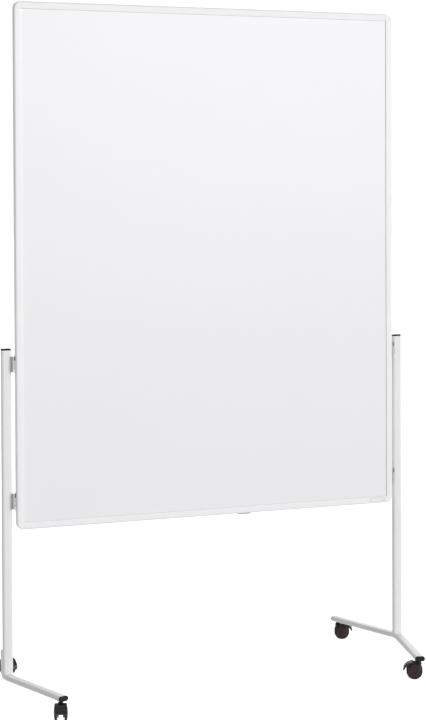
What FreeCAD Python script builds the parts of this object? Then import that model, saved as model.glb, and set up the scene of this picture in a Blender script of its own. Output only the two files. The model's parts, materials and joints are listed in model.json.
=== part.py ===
import FreeCAD, Part
import math
import os

# Mobile whiteboard: a framed two-sided writing board held between two castored stands.
# Millimetres. The origin is on the floor under the middle of the board. +X is to the right
# and -Y is to the front as a reader faces the front sheet, and +Z is up.

# --- Board ---------------------------------------------------------------------------------
BOARD_WIDTH = 1200.0
BOARD_HEIGHT = 1500.0
BOARD_THICKNESS = 20.0
BOARD_UNDERSIDE = 480.0      # height of the board's lower edge above the floor

RAIL_FACE = 21.0             # width of the frame profile seen from the front
RAIL_EDGE_RADIUS = 5.0       # rounding of the profile's two outer edges
RAIL_LIP_RADIUS = 1.0        # rounding of its two inner edges
RAIL_WALL = 1.5
GROOVE_DEPTH = 12.0          # the panel sits this deep in the profile
CHAMBER_DEPTH = 6.0          # closed chamber between outer wall and groove
CORE_THICKNESS = 14.0
CORE_PLAY = 0.2              # gap between the core and each groove wall
SHEET_THICKNESS = 0.5
SHEET_PLAY = 0.2             # gap between a sheet and the frame opening

TONGUE_LENGTH = 35.0         # arms of a corner piece inside the rails
TONGUE_PLAY = 0.2
CORNER_SCREW_INSET = 6.0     # from the board's outer edge
CORNER_SCREW_REACH = 18.0    # from the end of the rail
CORNER_SCREW = (1.5, 2.8, 1.6, 8.0)     # shank radius, head radius, head depth, length
CORNER_RECESS = (2.6, 0.9)              # size across and depth of the cross recess
SCREW_PLAY = 0.1

LABEL_WIDTH = 50.0
LABEL_HEIGHT = 13.0
LABEL_THICKNESS = 0.8
LABEL_CENTRE_X = 547.0
LABEL_ABOVE_EDGE = 12.5      # label centre above the board's lower edge
LABEL_CORNER = 1.5

CLIP_LENGTH = 40.0
CLIP_DEPTH = 12.0
CLIP_THICKNESS = 3.0
CLIP_CENTRE_X = 105.0
CLIP_CORNER = 3.0
CLIP_BEVEL = 1.2

# --- Stands --------------------------------------------------------------------------------
TUBE_WIDTH = 30.0            # flat-oval steel tube
TUBE_HEIGHT = 15.0
TUBE_WALL = 1.5

STAND_Y = 11.0               # the uprights stand behind the board's middle plane
UPRIGHT_X = 624.0
UPRIGHT_TOP = 991.0
COPE_DEPTH = 4.5             # the upright's end reaches this far down the foot's rounding

LEG_SPLAY = math.radians(15.2)
LEG_LENGTH = 294.0           # from the point where the two legs' axes meet
LEG_UNDERSIDE = 53.0
BEND_RADIUS = 80.0
LEG_Z = LEG_UNDERSIDE + TUBE_HEIGHT / 2
LEG_VERTEX_X = UPRIGHT_X + BEND_RADIUS * (1 / math.cos(LEG_SPLAY) - 1)

PLUG_HEAD = 4.0
CAP_HEAD = 5.0
PLUG_INSERT = 5.5
PLUG_PLAY = 0.15
PLUG_EDGE_RADIUS = 1.6
PLUG_RIB = 0.5               # ribs stand this proud of the sleeve
PLUG_RIB_LENGTH = 1.2
PLUG_RIB_STARTS = (1.2, 3.8)
PLUG_SLEEVE_WALL = 2.0

INSERT_LENGTH = 32.0         # threaded block in the foot of each upright
INSERT_GAP = 0.3             # above the foot
THREAD_PLAY = 0.05
FOOT_BOLT_RADIUS = 4.0
FOOT_BOLT_END = 94.0
FOOT_BOLT_HEAD_RADIUS = 7.0
FOOT_BOLT_HEAD = 3.6
FOOT_BOLT_EDGE = 2.4
FOOT_BOLT_PLAY = 0.3
KEY_RADIUS = 2.4
KEY_DEPTH = 2.0

# --- Hook-in brackets between board and uprights ---------------------------------------------
BRACKET_HEIGHTS = {"lower": 561.0, "upper": 951.0}
BRACKET_TALL = 45.0
BRACKET_FRONT = -8.5
BRACKET_BACK = 18.5
HOOK_BACK = 5.0              # hook and pocket end here, so the screws behind stay reachable
HOOK_PLATE = 2.3
BRACKET_GAP = 0.3
POCKET_WALL = 1.8
HOOK_TONGUE = 1.5
BRACKET_WEB = 2.5
SHELF_TALL = 8.0
POCKET_TOP = 2.0             # above the bracket's middle
HOOK_ARM_TOP = 12.0
HOOK_TONGUE_END = -12.0
SADDLE_DEPTH = 3.5
SADDLE_WIDTH = 13.0
BRACKET_SCREW_OFFSET = 14.0
BRACKET_SCREW_RADIUS = 2.5
BRACKET_SCREW_LENGTH = 9.0
PAN_HEAD_RADIUS = 4.5
PAN_HEAD = 2.6
PAN_HEAD_EDGE = 1.4
BRACKET_RECESS = (4.0, 1.2)
HOOK_SCREW_OFFSET = 17.5
HOOK_SCREW = (2.0, 3.8, 1.8, 9.0)
HOOK_RECESS = (3.4, 1.0)
HOOK_SCREW_PLAY = 0.05

# --- Twin-wheel casters ----------------------------------------------------------------------
WHEEL_RADIUS = 24.0
WHEEL_WIDTH = 7.4            # across the tread
WHEEL_GAP = 20.0             # clear width between the two wheels
RIM_THICKNESS = 3.2
WHEEL_WEB = 2.4
WHEEL_HUB_RADIUS = 6.0
TREAD_CORNERS = [0.4, 1.4, 2.4, 0.5]    # inner bore, inner edge, outer edge, outer bore
COVER_RECESS = 0.6           # the domed cover's rim lies this far inside the tread's outer face
COVER_CROWN = 2.4            # and its middle stands this far outside it
COVER_OVERLAP = 1.0          # the cover runs into the rim
AXLE_RADIUS = 3.0
AXLE_REACH = 16.5            # half the axle's length
AXLE_CHAMFER = 0.5
AXLE_END_GAP = 0.3
AXLE_SEAT_PLAY = 0.02        # radial play of the axle in the housing
RUNNING_PLAY = 0.05          # radial play of every turning fit
CASTER_TRAIL = 13.0          # from the swivel axis to the wheel axis
STEM_FROM_VERTEX = 281.0     # swivel axis, measured along the leg's axis
STEM_RADIUS = 4.0
STEM_FOOT = 33.0
STEM_TOP = 62.0
STEM_FLANGE_RADIUS = 7.0
STEM_FLANGE = 1.2
STEM_HOLE_PLAY = 0.2
STEM_END_GAP = 0.5
NUT_ACROSS_FLATS = 12.6
NUT_TALL = 6.5
HOUSING_WIDTH = 19.0
HOUSING_RADIUS = 22.5
HOUSING_UNDERSIDE = 15.0
HOUSING_TOP = 51.4
NECK_FOOT = 44.0
NECK_FOOT_RADIUS = 9.2
NECK_TOP_RADIUS = 5.8
BOSS_RADIUS = 7.5
BOSS_FOOT = 18.0
PEDAL_SLOT = 11.6            # width of the slot that the pedal's arm swings in
SLOT_STEP = 38.0             # below this height the slot is deep, and above it shallow
SLOT_DEEP_END = 7.6
SLOT_SHALLOW_END = 1.0
PEDAL_WEB_WIDTH = 10.6
PEDAL_WIDTH = 34.0
PEDAL_NOTCH_RADIUS = 14.0    # round notch in the pedal's upper edge, clear of the caster's neck
PEDAL_NOTCH_X = 6.3
PEDAL_NOTCH_FOOT = 47.0
PEDAL_CLEAR_RADIUS = 24.9
PEDAL_THICKNESS = 2.0
PEDAL_EDGE_RADIUS = 0.8
PEDAL_HUB_RADIUS = 7.0

# Outline of the brake pedal: distance from the wheel axis, and angle from the side away from
# the pedal, in the order in which the outline runs.
PEDAL_INNER = [98, 116, 134]                            # angles on the clear radius
PEDAL_TIP = [(27.4, 158), (31.0, 179), (33.8, 178.5), (34.0, 173)]
PEDAL_TOP = [(27.1, 113), (28.8, 128), (31.6, 146), (33.6, 161)]
PEDAL_ARM = [(6.9, 70), (25.6, 99), (25.9, 116), (25.6, 132), (6.9, 172)]

# Direction from the swivel axis to the wheels at rest, counter-clockwise from +X.
CASTER_HEADINGS = {
    "front_left": -107.0,
    "front_right": 152.0,
    "rear_left": -80.0,
    "rear_right": -26.0,
}

# How far each brake pedal is pressed down at rest, from its lifted position.
PEDAL_LIFTED = 0.0
PEDAL_PRESSED = 14.0
PEDALS_AT_REST = {
    "front_left": PEDAL_LIFTED,
    "front_right": PEDAL_LIFTED,
    "rear_left": PEDAL_PRESSED,
    "rear_right": PEDAL_LIFTED,
}

SIDES = {"left": -1, "right": 1}
ENDS = {"front": -1, "rear": 1}
X_AXIS = FreeCAD.Vector(1, 0, 0)
Y_AXIS = FreeCAD.Vector(0, 1, 0)
Z_AXIS = FreeCAD.Vector(0, 0, 1)


# --- Helpers ---------------------------------------------------------------------------------
def vec(x, y, z):
    return FreeCAD.Vector(x, y, z)


def unit(v):
    return FreeCAD.Vector(v).normalize()


def block(x0, x1, y0, y1, z0, z1):
    """Box between two corners."""
    return Part.makeBox(x1 - x0, y1 - y0, z1 - z0, vec(x0, y0, z0))


def rounded_face(points, radii):
    """Flat face through the points, each corner rounded to its own radius."""
    starts, mids, ends = [], [], []
    count = len(points)
    for i in range(count):
        point = points[i]
        to_last = unit(points[i - 1] - point)
        to_next = unit(points[(i + 1) % count] - point)
        half = to_last.getAngle(to_next) / 2
        reach = radii[i] / math.tan(half)
        starts.append(point + to_last * reach)
        ends.append(point + to_next * reach)
        mids.append(point + unit(to_last + to_next) * (radii[i] / math.sin(half) - radii[i]))
    edges = []
    for i in range(count):
        if radii[i] > 0:
            edges.append(Part.Arc(starts[i], mids[i], ends[i]).toShape())
        following = starts[(i + 1) % count]
        if (following - ends[i]).Length > 1e-6:
            edges.append(Part.LineSegment(ends[i], following).toShape())
    return Part.Face(Part.Wire(edges))


def flat_oval(centre, across, up, width, height):
    """Face of a flat-oval section: two straight sides joined by half rounds."""
    radius = height / 2
    left = centre - across * (width / 2 - radius)
    right = centre + across * (width / 2 - radius)
    outline = [
        Part.LineSegment(left + up * radius, right + up * radius).toShape(),
        Part.Arc(right + up * radius, right + across * radius, right - up * radius).toShape(),
        Part.LineSegment(right - up * radius, left - up * radius).toShape(),
        Part.Arc(left - up * radius, left - across * radius, left + up * radius).toShape(),
    ]
    return Part.Face(Part.Wire(outline))


def mirrored(shape, side):
    """The right-hand shape for side 1, its mirror image in X for side -1."""
    if side > 0:
        return shape
    return shape.mirror(vec(0, 0, 0), X_AXIS)


def screw(head_point, inward, sizes, play=0.0):
    """Countersunk screw with its flush head at head_point, or its hole if play is given."""
    shank_radius, head_radius, head_depth, length = sizes
    cone = Part.makeCone(head_radius + play, shank_radius + play, head_depth, head_point, inward)
    shank = Part.makeCylinder(shank_radius + play, length + play, head_point, inward)
    return cone.fuse(shank).removeSplitter()


def cross_recess(head_point, inward, sideways, sizes):
    """Two crossed slots, cut into a screw head."""
    size, depth = sizes
    other = inward.cross(sideways)
    slots = []
    for along, over in ((sideways, other), (other, sideways)):
        corner = head_point - along * size / 2 - over * size / 8
        outline = [corner, corner + along * size, corner + along * size + over * size / 4]
        outline.append(corner + over * size / 4)
        slots.append(rounded_face(outline, [0, 0, 0, 0]).extrude(inward * depth))
    return slots[0].fuse(slots[1])


def bore(point, along, radius, length):
    return Part.makeCylinder(radius, length, point, along)


# --- Board -----------------------------------------------------------------------------------
HALF_WIDTH = BOARD_WIDTH / 2
HALF_THICKNESS = BOARD_THICKNESS / 2
BOARD_TOP = BOARD_UNDERSIDE + BOARD_HEIGHT
BOARD_MIDDLE = BOARD_UNDERSIDE + BOARD_HEIGHT / 2
CORE_SLOT = CORE_THICKNESS / 2 + CORE_PLAY
GROOVE_START = RAIL_FACE - GROOVE_DEPTH

# Each edge of the board: middle of the edge, direction along the rail, direction to the panel.
EDGES = {
    "bottom": (vec(0, 0, BOARD_UNDERSIDE), X_AXIS, Z_AXIS, BOARD_WIDTH),
    "top": (vec(0, 0, BOARD_TOP), X_AXIS, -Z_AXIS, BOARD_WIDTH),
    "left": (vec(-HALF_WIDTH, 0, BOARD_MIDDLE), Z_AXIS, X_AXIS, BOARD_HEIGHT),
    "right": (vec(HALF_WIDTH, 0, BOARD_MIDDLE), Z_AXIS, -X_AXIS, BOARD_HEIGHT),
}


def rail_section(start, inward, lip_radius):
    """Outline of the frame profile, from its outer edge at start towards the panel."""
    front = start - Y_AXIS * HALF_THICKNESS
    back = start + Y_AXIS * HALF_THICKNESS
    points = [front, back, back + inward * RAIL_FACE, front + inward * RAIL_FACE]
    return rounded_face(points, [RAIL_EDGE_RADIUS, RAIL_EDGE_RADIUS, lip_radius, lip_radius])


def slot_section(start, inward, near, far, half_depth):
    """Rectangle across the profile between two distances from its outer edge."""
    front = start - Y_AXIS * half_depth
    back = start + Y_AXIS * half_depth
    points = [front + inward * near, back + inward * near, back + inward * far, front + inward * far]
    return rounded_face(points, [0, 0, 0, 0])


def corner_screw_points(edge):
    """Head centres of the two screws on one rail's back face."""
    middle, along, inward, length = EDGES[edge]
    reach = length / 2 - RAIL_FACE - CORNER_SCREW_REACH
    base = middle + inward * CORNER_SCREW_INSET + Y_AXIS * HALF_THICKNESS
    return [base - along * reach, base + along * reach]


def corner_screw(point, play=0.0):
    return screw(point, -Y_AXIS, CORNER_SCREW, play)


def rail(edge):
    """Hollow aluminium profile with a groove for the panel."""
    middle, along, inward, length = EDGES[edge]
    run = along * (length - 2 * RAIL_FACE)
    start = middle - run / 2
    profile = rail_section(start, inward, RAIL_LIP_RADIUS).extrude(run)
    chamber = slot_section(start, inward, RAIL_WALL, RAIL_WALL + CHAMBER_DEPTH, CORE_SLOT)
    groove = slot_section(start, inward, GROOVE_START, RAIL_FACE, CORE_SLOT)
    profile = profile.cut(chamber.extrude(run)).cut(groove.extrude(run))
    for point in corner_screw_points(edge):
        profile = profile.cut(corner_screw(point, SCREW_PLAY))
    return profile


def corner(across_edge, upright_edge):
    """Quarter-round corner piece with a tongue into each of its two rails."""
    corner_point = vec(EDGES[upright_edge][0].x, 0, EDGES[across_edge][0].z)
    into_x = EDGES[upright_edge][2]
    into_z = EDGES[across_edge][2]
    pivot = corner_point + into_x * RAIL_FACE + into_z * RAIL_FACE
    section = rail_section(pivot - into_z * RAIL_FACE, into_z, 0)
    quarter_turn = -90 * into_x.cross(into_z).y
    piece = section.revolve(pivot, Y_AXIS, quarter_turn)
    tongue_near = RAIL_WALL + TONGUE_PLAY
    tongue_far = RAIL_WALL + CHAMBER_DEPTH - TONGUE_PLAY
    arms = ((across_edge, into_z, into_x), (upright_edge, into_x, into_z))
    for edge, inward, run in arms:
        root = corner_point + run * RAIL_FACE
        face = slot_section(root, inward, tongue_near, tongue_far, CORE_SLOT - TONGUE_PLAY)
        piece = piece.fuse(face.extrude(run * TONGUE_LENGTH))
        for point in corner_screw_points(edge):
            piece = piece.cut(corner_screw(point, SCREW_PLAY))
    return piece.removeSplitter()


def corner_screws():
    """Eight countersunk screws in the back of the frame."""
    pieces = []
    for edge in EDGES:
        for point in corner_screw_points(edge):
            recess = cross_recess(point, -Y_AXIS, X_AXIS, CORNER_RECESS)
            pieces.append(corner_screw(point).cut(recess))
    return Part.makeCompound(pieces)


def board_core():
    """Honeycomb core, notched at its corners round the corner pieces."""
    inset = GROOVE_START + CORE_PLAY
    x_side = HALF_WIDTH - inset
    z_low = BOARD_UNDERSIDE + inset
    z_high = BOARD_TOP - inset
    half = CORE_THICKNESS / 2
    core = block(-x_side, x_side, -half, half, z_low, z_high)
    notch = RAIL_FACE - inset + CORE_PLAY
    for x in (-x_side, x_side - notch):
        for z in (z_low, z_high - notch):
            core = core.cut(block(x, x + notch, -half, half, z, z + notch))
    return core


def writing_sheet(side):
    """Enamelled sheet on one face of the core, ending at the frame's opening."""
    x_side = HALF_WIDTH - RAIL_FACE - SHEET_PLAY
    inset = RAIL_FACE + SHEET_PLAY
    inner = side * CORE_THICKNESS / 2
    outer = inner + side * SHEET_THICKNESS
    low, high = sorted((inner, outer))
    return block(-x_side, x_side, low, high, BOARD_UNDERSIDE + inset, BOARD_TOP - inset)


def label_plate():
    """Blank plate on the front of the lower rail."""
    centre = vec(LABEL_CENTRE_X, -HALF_THICKNESS, BOARD_UNDERSIDE + LABEL_ABOVE_EDGE)
    across = X_AXIS * (LABEL_WIDTH / 2)
    up = Z_AXIS * (LABEL_HEIGHT / 2)
    points = [centre - across - up, centre + across - up, centre + across + up, centre - across + up]
    return rounded_face(points, [LABEL_CORNER] * 4).extrude(-Y_AXIS * LABEL_THICKNESS)


def bottom_clip():
    """Flat clip under the lower rail, with its lower edges bevelled."""
    across = X_AXIS * (CLIP_LENGTH / 2)
    deep = Y_AXIS * (CLIP_DEPTH / 2)
    centre = vec(CLIP_CENTRE_X, 0, BOARD_UNDERSIDE)
    points = [centre - across - deep, centre + across - deep, centre + across + deep]
    points.append(centre - across + deep)
    plate = rounded_face(points, [CLIP_CORNER] * 4).extrude(-Z_AXIS * CLIP_THICKNESS)
    lowest = BOARD_UNDERSIDE - CLIP_THICKNESS
    rim = [e for e in plate.Edges if abs(e.BoundBox.ZMax - lowest) < 1e-6]
    return plate.makeChamfer(CLIP_BEVEL, rim)


# --- Stands ----------------------------------------------------------------------------------
UPRIGHT_AXIS = vec(UPRIGHT_X, STAND_Y, 0)
LEG_TOP = LEG_UNDERSIDE + TUBE_HEIGHT
LEG_VERTEX = vec(LEG_VERTEX_X, STAND_Y, LEG_Z)
INNER_WIDTH = TUBE_WIDTH - 2 * TUBE_WALL
INNER_HEIGHT = TUBE_HEIGHT - 2 * TUBE_WALL


def leg_direction(end):
    """Unit vector along a right-hand leg, away from the upright."""
    return vec(-math.sin(LEG_SPLAY), end * math.cos(LEG_SPLAY), 0)


def leg_across(end):
    """Unit vector square to a right-hand leg, away from the board."""
    return vec(math.cos(LEG_SPLAY), end * math.sin(LEG_SPLAY), 0)


def leg_point(end, distance):
    return LEG_VERTEX + leg_direction(end) * distance


def bent_bar(width, height, length):
    """Flat-oval bar along both legs of the right-hand foot and round the bend between them."""
    tangent = BEND_RADIUS * math.tan(LEG_SPLAY)
    pieces = []
    for end in ENDS.values():
        face = flat_oval(leg_point(end, tangent), leg_across(end), Z_AXIS, width, height)
        pieces.append(face.extrude(leg_direction(end) * (length - tangent)))
    bend_centre = LEG_VERTEX - X_AXIS * (BEND_RADIUS / math.cos(LEG_SPLAY))
    start = flat_oval(leg_point(-1, tangent), leg_across(-1), Z_AXIS, width, height)
    pieces.append(start.revolve(bend_centre, Z_AXIS, math.degrees(2 * LEG_SPLAY)))
    return pieces[0].fuse(pieces[1:]).removeSplitter()


def foot():
    """Bent foot tube with holes for its bolt and for the two caster stems."""
    tube = bent_bar(TUBE_WIDTH, TUBE_HEIGHT, LEG_LENGTH)
    tube = tube.cut(bent_bar(INNER_WIDTH, INNER_HEIGHT, LEG_LENGTH + 1))
    bolt_point = UPRIGHT_AXIS + Z_AXIS * (LEG_UNDERSIDE - 1)
    tube = tube.cut(bore(bolt_point, Z_AXIS, FOOT_BOLT_RADIUS + FOOT_BOLT_PLAY, TUBE_HEIGHT + 2))
    for end in ENDS.values():
        hole = leg_point(end, STEM_FROM_VERTEX)
        hole.z = LEG_UNDERSIDE - 1
        tube = tube.cut(bore(hole, Z_AXIS, STEM_RADIUS + STEM_HOLE_PLAY, TUBE_WALL + 2))
    return tube


def bracket_screw_points():
    """Where the bracket screws enter the right-hand upright."""
    points = []
    for height in BRACKET_HEIGHTS.values():
        for offset in (-BRACKET_SCREW_OFFSET, BRACKET_SCREW_OFFSET):
            points.append(vec(UPRIGHT_X - TUBE_WIDTH / 2, STAND_Y, height + offset))
    return points


def bracket_screw_hole(point):
    start = point - X_AXIS * (BRACKET_WEB + 1)
    return bore(start, X_AXIS, BRACKET_SCREW_RADIUS + SCREW_PLAY, BRACKET_SCREW_LENGTH)


def upright():
    """Upright tube, its lower end shaped to sit on the foot."""
    start = LEG_TOP - COPE_DEPTH
    run = Z_AXIS * (UPRIGHT_TOP - start)
    base = UPRIGHT_AXIS + Z_AXIS * start
    tube = flat_oval(base, X_AXIS, Y_AXIS, TUBE_WIDTH, TUBE_HEIGHT).extrude(run)
    tube = tube.cut(flat_oval(base, X_AXIS, Y_AXIS, INNER_WIDTH, INNER_HEIGHT).extrude(run))
    tube = tube.cut(bent_bar(TUBE_WIDTH, TUBE_HEIGHT, LEG_LENGTH))
    for point in bracket_screw_points():
        tube = tube.cut(bracket_screw_hole(point))
    return tube


def tube_plug(base, outward, across, up, head):
    """Plug for an open tube end: a domed-edge head and a ribbed hollow insert."""
    cap = flat_oval(base, across, up, TUBE_WIDTH, TUBE_HEIGHT).extrude(outward * head)
    tip = base + outward * head
    rim = [e for e in cap.Edges if abs((e.CenterOfMass - tip).dot(outward)) < 1e-6]
    cap = cap.makeFillet(PLUG_EDGE_RADIUS, rim)
    width = INNER_WIDTH - 2 * PLUG_PLAY
    height = INNER_HEIGHT - 2 * PLUG_PLAY
    inside = -outward
    sleeve = flat_oval(base, across, up, width - 2 * PLUG_RIB, height - 2 * PLUG_RIB)
    sleeve = sleeve.extrude(inside * PLUG_INSERT)
    for offset in PLUG_RIB_STARTS:
        rib = flat_oval(base + inside * offset, across, up, width, height)
        sleeve = sleeve.fuse(rib.extrude(inside * PLUG_RIB_LENGTH))
    walls = 2 * (PLUG_RIB + PLUG_SLEEVE_WALL)
    hollow = flat_oval(base, across, up, width - walls, height - walls)
    sleeve = sleeve.cut(hollow.extrude(inside * PLUG_INSERT))
    return cap.fuse(sleeve).removeSplitter()


def upright_cap():
    top = UPRIGHT_AXIS + Z_AXIS * UPRIGHT_TOP
    return tube_plug(top, Z_AXIS, X_AXIS, Y_AXIS, CAP_HEAD)


def leg_plug(end):
    return tube_plug(
        leg_point(end, LEG_LENGTH), leg_direction(end), leg_across(end), Z_AXIS, PLUG_HEAD
    )


def upright_insert():
    """Threaded block held in the lower end of the upright."""
    base = UPRIGHT_AXIS + Z_AXIS * (LEG_TOP + INSERT_GAP)
    width = INNER_WIDTH - 2 * PLUG_PLAY
    height = INNER_HEIGHT - 2 * PLUG_PLAY
    body = flat_oval(base, X_AXIS, Y_AXIS, width, height).extrude(Z_AXIS * INSERT_LENGTH)
    hole_length = FOOT_BOLT_END - base.z + 1
    return body.cut(bore(base, Z_AXIS, FOOT_BOLT_RADIUS + THREAD_PLAY, hole_length))


def foot_bolt():
    """Button-head bolt through the foot into the upright's insert."""
    under = UPRIGHT_AXIS + Z_AXIS * LEG_UNDERSIDE
    head = Part.makeCylinder(FOOT_BOLT_HEAD_RADIUS, FOOT_BOLT_HEAD, under, -Z_AXIS)
    rim = [e for e in head.Edges if e.BoundBox.ZMax < LEG_UNDERSIDE - FOOT_BOLT_HEAD + 1e-6]
    head = head.makeFillet(FOOT_BOLT_EDGE, rim)
    key = Part.makeCylinder(KEY_RADIUS, KEY_DEPTH, under - Z_AXIS * FOOT_BOLT_HEAD, Z_AXIS)
    shank = Part.makeCylinder(FOOT_BOLT_RADIUS, FOOT_BOLT_END - under.z, under, Z_AXIS)
    return head.cut(key).fuse(shank).removeSplitter()


def hex_prism(base, across_flats, height):
    radius = across_flats / math.sqrt(3)
    points = []
    for i in range(6):
        angle = math.radians(60 * i)
        points.append(base + vec(radius * math.cos(angle), radius * math.sin(angle), 0))
    return rounded_face(points, [0] * 6).extrude(Z_AXIS * height)


def stem_nut(end):
    """Weld nut inside the leg, over the stem's hole."""
    base = leg_point(end, STEM_FROM_VERTEX)
    base.z = LEG_UNDERSIDE + TUBE_WALL
    hole = bore(base, Z_AXIS, STEM_RADIUS + THREAD_PLAY, NUT_TALL)
    return hex_prism(base, NUT_ACROSS_FLATS, NUT_TALL).cut(hole)


# --- Brackets --------------------------------------------------------------------------------
PLATE_X = HALF_WIDTH + HOOK_PLATE
POCKET_X = PLATE_X + BRACKET_GAP
TONGUE_X = POCKET_X + POCKET_WALL + BRACKET_GAP
WEB_X = UPRIGHT_X - TUBE_WIDTH / 2 - BRACKET_WEB


def upright_bracket(middle):
    """Open-topped pocket screwed to the inner edge of the right-hand upright."""
    low = middle - BRACKET_TALL / 2
    high = middle + BRACKET_TALL / 2
    web_back = WEB_X + BRACKET_WEB
    web = block(WEB_X, web_back, BRACKET_FRONT, BRACKET_BACK, low, high)
    saddle_front = STAND_Y - SADDLE_WIDTH / 2
    saddle_back = STAND_Y + SADDLE_WIDTH / 2
    saddle = block(web_back, web_back + SADDLE_DEPTH, saddle_front, saddle_back, low, high)
    tube = flat_oval(UPRIGHT_AXIS + Z_AXIS * low, X_AXIS, Y_AXIS, TUBE_WIDTH, TUBE_HEIGHT)
    saddle = saddle.cut(tube.extrude(Z_AXIS * BRACKET_TALL))
    shelf = block(POCKET_X, WEB_X, BRACKET_FRONT, HOOK_BACK, low, low + SHELF_TALL)
    wall_end = POCKET_X + POCKET_WALL
    wall = block(POCKET_X, wall_end, BRACKET_FRONT, HOOK_BACK, low, middle + POCKET_TOP)
    bracket = web.fuse([saddle, shelf, wall]).removeSplitter()
    for point in bracket_screw_points():
        bracket = bracket.cut(bracket_screw_hole(point))
    return bracket


def board_hook(middle):
    """Hook plate screwed to the side of the board, its tongue in the upright's pocket."""
    low = middle - BRACKET_TALL / 2
    high = middle + BRACKET_TALL / 2
    plate = block(HALF_WIDTH, PLATE_X, BRACKET_FRONT, -BRACKET_FRONT, low, high)
    arm_low = middle + POCKET_TOP
    arm_high = middle + HOOK_ARM_TOP
    tongue_end = TONGUE_X + HOOK_TONGUE
    arm = block(PLATE_X, tongue_end, BRACKET_FRONT, HOOK_BACK, arm_low, arm_high)
    tongue_low = middle + HOOK_TONGUE_END
    tongue = block(TONGUE_X, tongue_end, BRACKET_FRONT, HOOK_BACK, tongue_low, arm_low)
    hook = plate.fuse([arm, tongue]).removeSplitter()
    for point in hook_screw_points():
        hook = hook.cut(hook_screw(point, HOOK_SCREW_PLAY))
    return hook


def hook_screw_points():
    """Head centres of the hook screws on the right-hand side of the board."""
    points = []
    for height in BRACKET_HEIGHTS.values():
        for offset in (-HOOK_SCREW_OFFSET, HOOK_SCREW_OFFSET):
            points.append(vec(PLATE_X, 0, height + offset))
    return points


def hook_screw(point, play=0.0):
    return screw(point, -X_AXIS, HOOK_SCREW, play)


def hook_screws(side):
    """Countersunk screws of one side's hooks."""
    pieces = []
    for point in hook_screw_points():
        recess = cross_recess(point, -X_AXIS, Y_AXIS, HOOK_RECESS)
        pieces.append(mirrored(hook_screw(point).cut(recess), side))
    return pieces


def bracket_screws(side):
    """Pan-head screws of one side's brackets, through the web into the upright."""
    pieces = []
    for point in bracket_screw_points():
        seat = point - X_AXIS * BRACKET_WEB
        top = seat - X_AXIS * PAN_HEAD
        head = Part.makeCylinder(PAN_HEAD_RADIUS, PAN_HEAD, seat, -X_AXIS)
        rim = [e for e in head.Edges if abs(e.BoundBox.XMax - top.x) < 1e-3]
        head = head.makeFillet(PAN_HEAD_EDGE, rim)
        recess = cross_recess(top, X_AXIS, Y_AXIS, BRACKET_RECESS)
        shank = Part.makeCylinder(BRACKET_SCREW_RADIUS, BRACKET_SCREW_LENGTH, seat, X_AXIS)
        pieces.append(mirrored(head.cut(recess).fuse(shank).removeSplitter(), side))
    return pieces


# --- Casters ---------------------------------------------------------------------------------
# A caster is built with its wheel axis along Y through the origin in plan. Its swivel axis
# stands at +X, and its brake pedal points to -X.
WHEEL_CENTRE = vec(0, 0, WHEEL_RADIUS)
SWIVEL_AXIS = vec(CASTER_TRAIL, 0, 0)


def polar(radius, degrees):
    """Point in the caster's middle plane, by distance and angle about the wheel axis."""
    angle = math.radians(degrees)
    return WHEEL_CENTRE + vec(radius * math.cos(angle), 0, radius * math.sin(angle))


def across_y(face, width):
    """Solid of the given width from a face in the middle plane, centred on that plane."""
    face.translate(vec(0, -width / 2, 0))
    return face.extrude(Y_AXIS * width)


def wheel(side):
    """Cupped wheel: rounded tread, domed cover, inner hub with a blind bore."""
    inner = side * WHEEL_GAP / 2
    outer = inner + side * WHEEL_WIDTH
    lip = outer - side * COVER_RECESS
    cover_radius = WHEEL_RADIUS - RIM_THICKNESS
    cover_crown = outer + side * COVER_CROWN
    web = side * WHEEL_WEB

    def at(radius, y):
        return vec(radius, y, WHEEL_RADIUS)

    tread = [at(cover_radius, inner), at(WHEEL_RADIUS, inner)]
    tread += [at(WHEEL_RADIUS, outer), at(cover_radius, outer)]
    rim = rounded_face(tread, TREAD_CORNERS).revolve(WHEEL_CENTRE, Y_AXIS, 360)
    rise = abs(cover_crown - lip)
    edge = cover_radius + COVER_OVERLAP
    sphere = (edge ** 2 + rise ** 2) / (2 * rise)
    sag = sphere - math.sqrt(sphere ** 2 - (edge / 2) ** 2)
    half_way = cover_crown - side * sag
    dome = Part.Arc(at(edge, lip), at(edge / 2, half_way), at(0, cover_crown))
    inside = Part.Arc(at(0, cover_crown - web), at(edge / 2, half_way - web), at(edge, lip - web))
    outline = Part.Wire([
        dome.toShape(),
        Part.LineSegment(at(0, cover_crown), at(0, cover_crown - web)).toShape(),
        inside.toShape(),
        Part.LineSegment(at(edge, lip - web), at(edge, lip)).toShape(),
    ])
    cover = Part.Face(outline).revolve(WHEEL_CENTRE, Y_AXIS, 360)
    hub_start = vec(0, inner, WHEEL_RADIUS)
    direction = Y_AXIS * side
    hub_length = abs(cover_crown - inner) - WHEEL_WEB / 2
    hub = Part.makeCylinder(WHEEL_HUB_RADIUS, hub_length, hub_start, direction)
    body = rim.fuse([cover, hub])
    bore_length = AXLE_REACH + AXLE_END_GAP - abs(inner)
    return body.cut(bore(hub_start, direction, AXLE_RADIUS + RUNNING_PLAY, bore_length))


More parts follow.
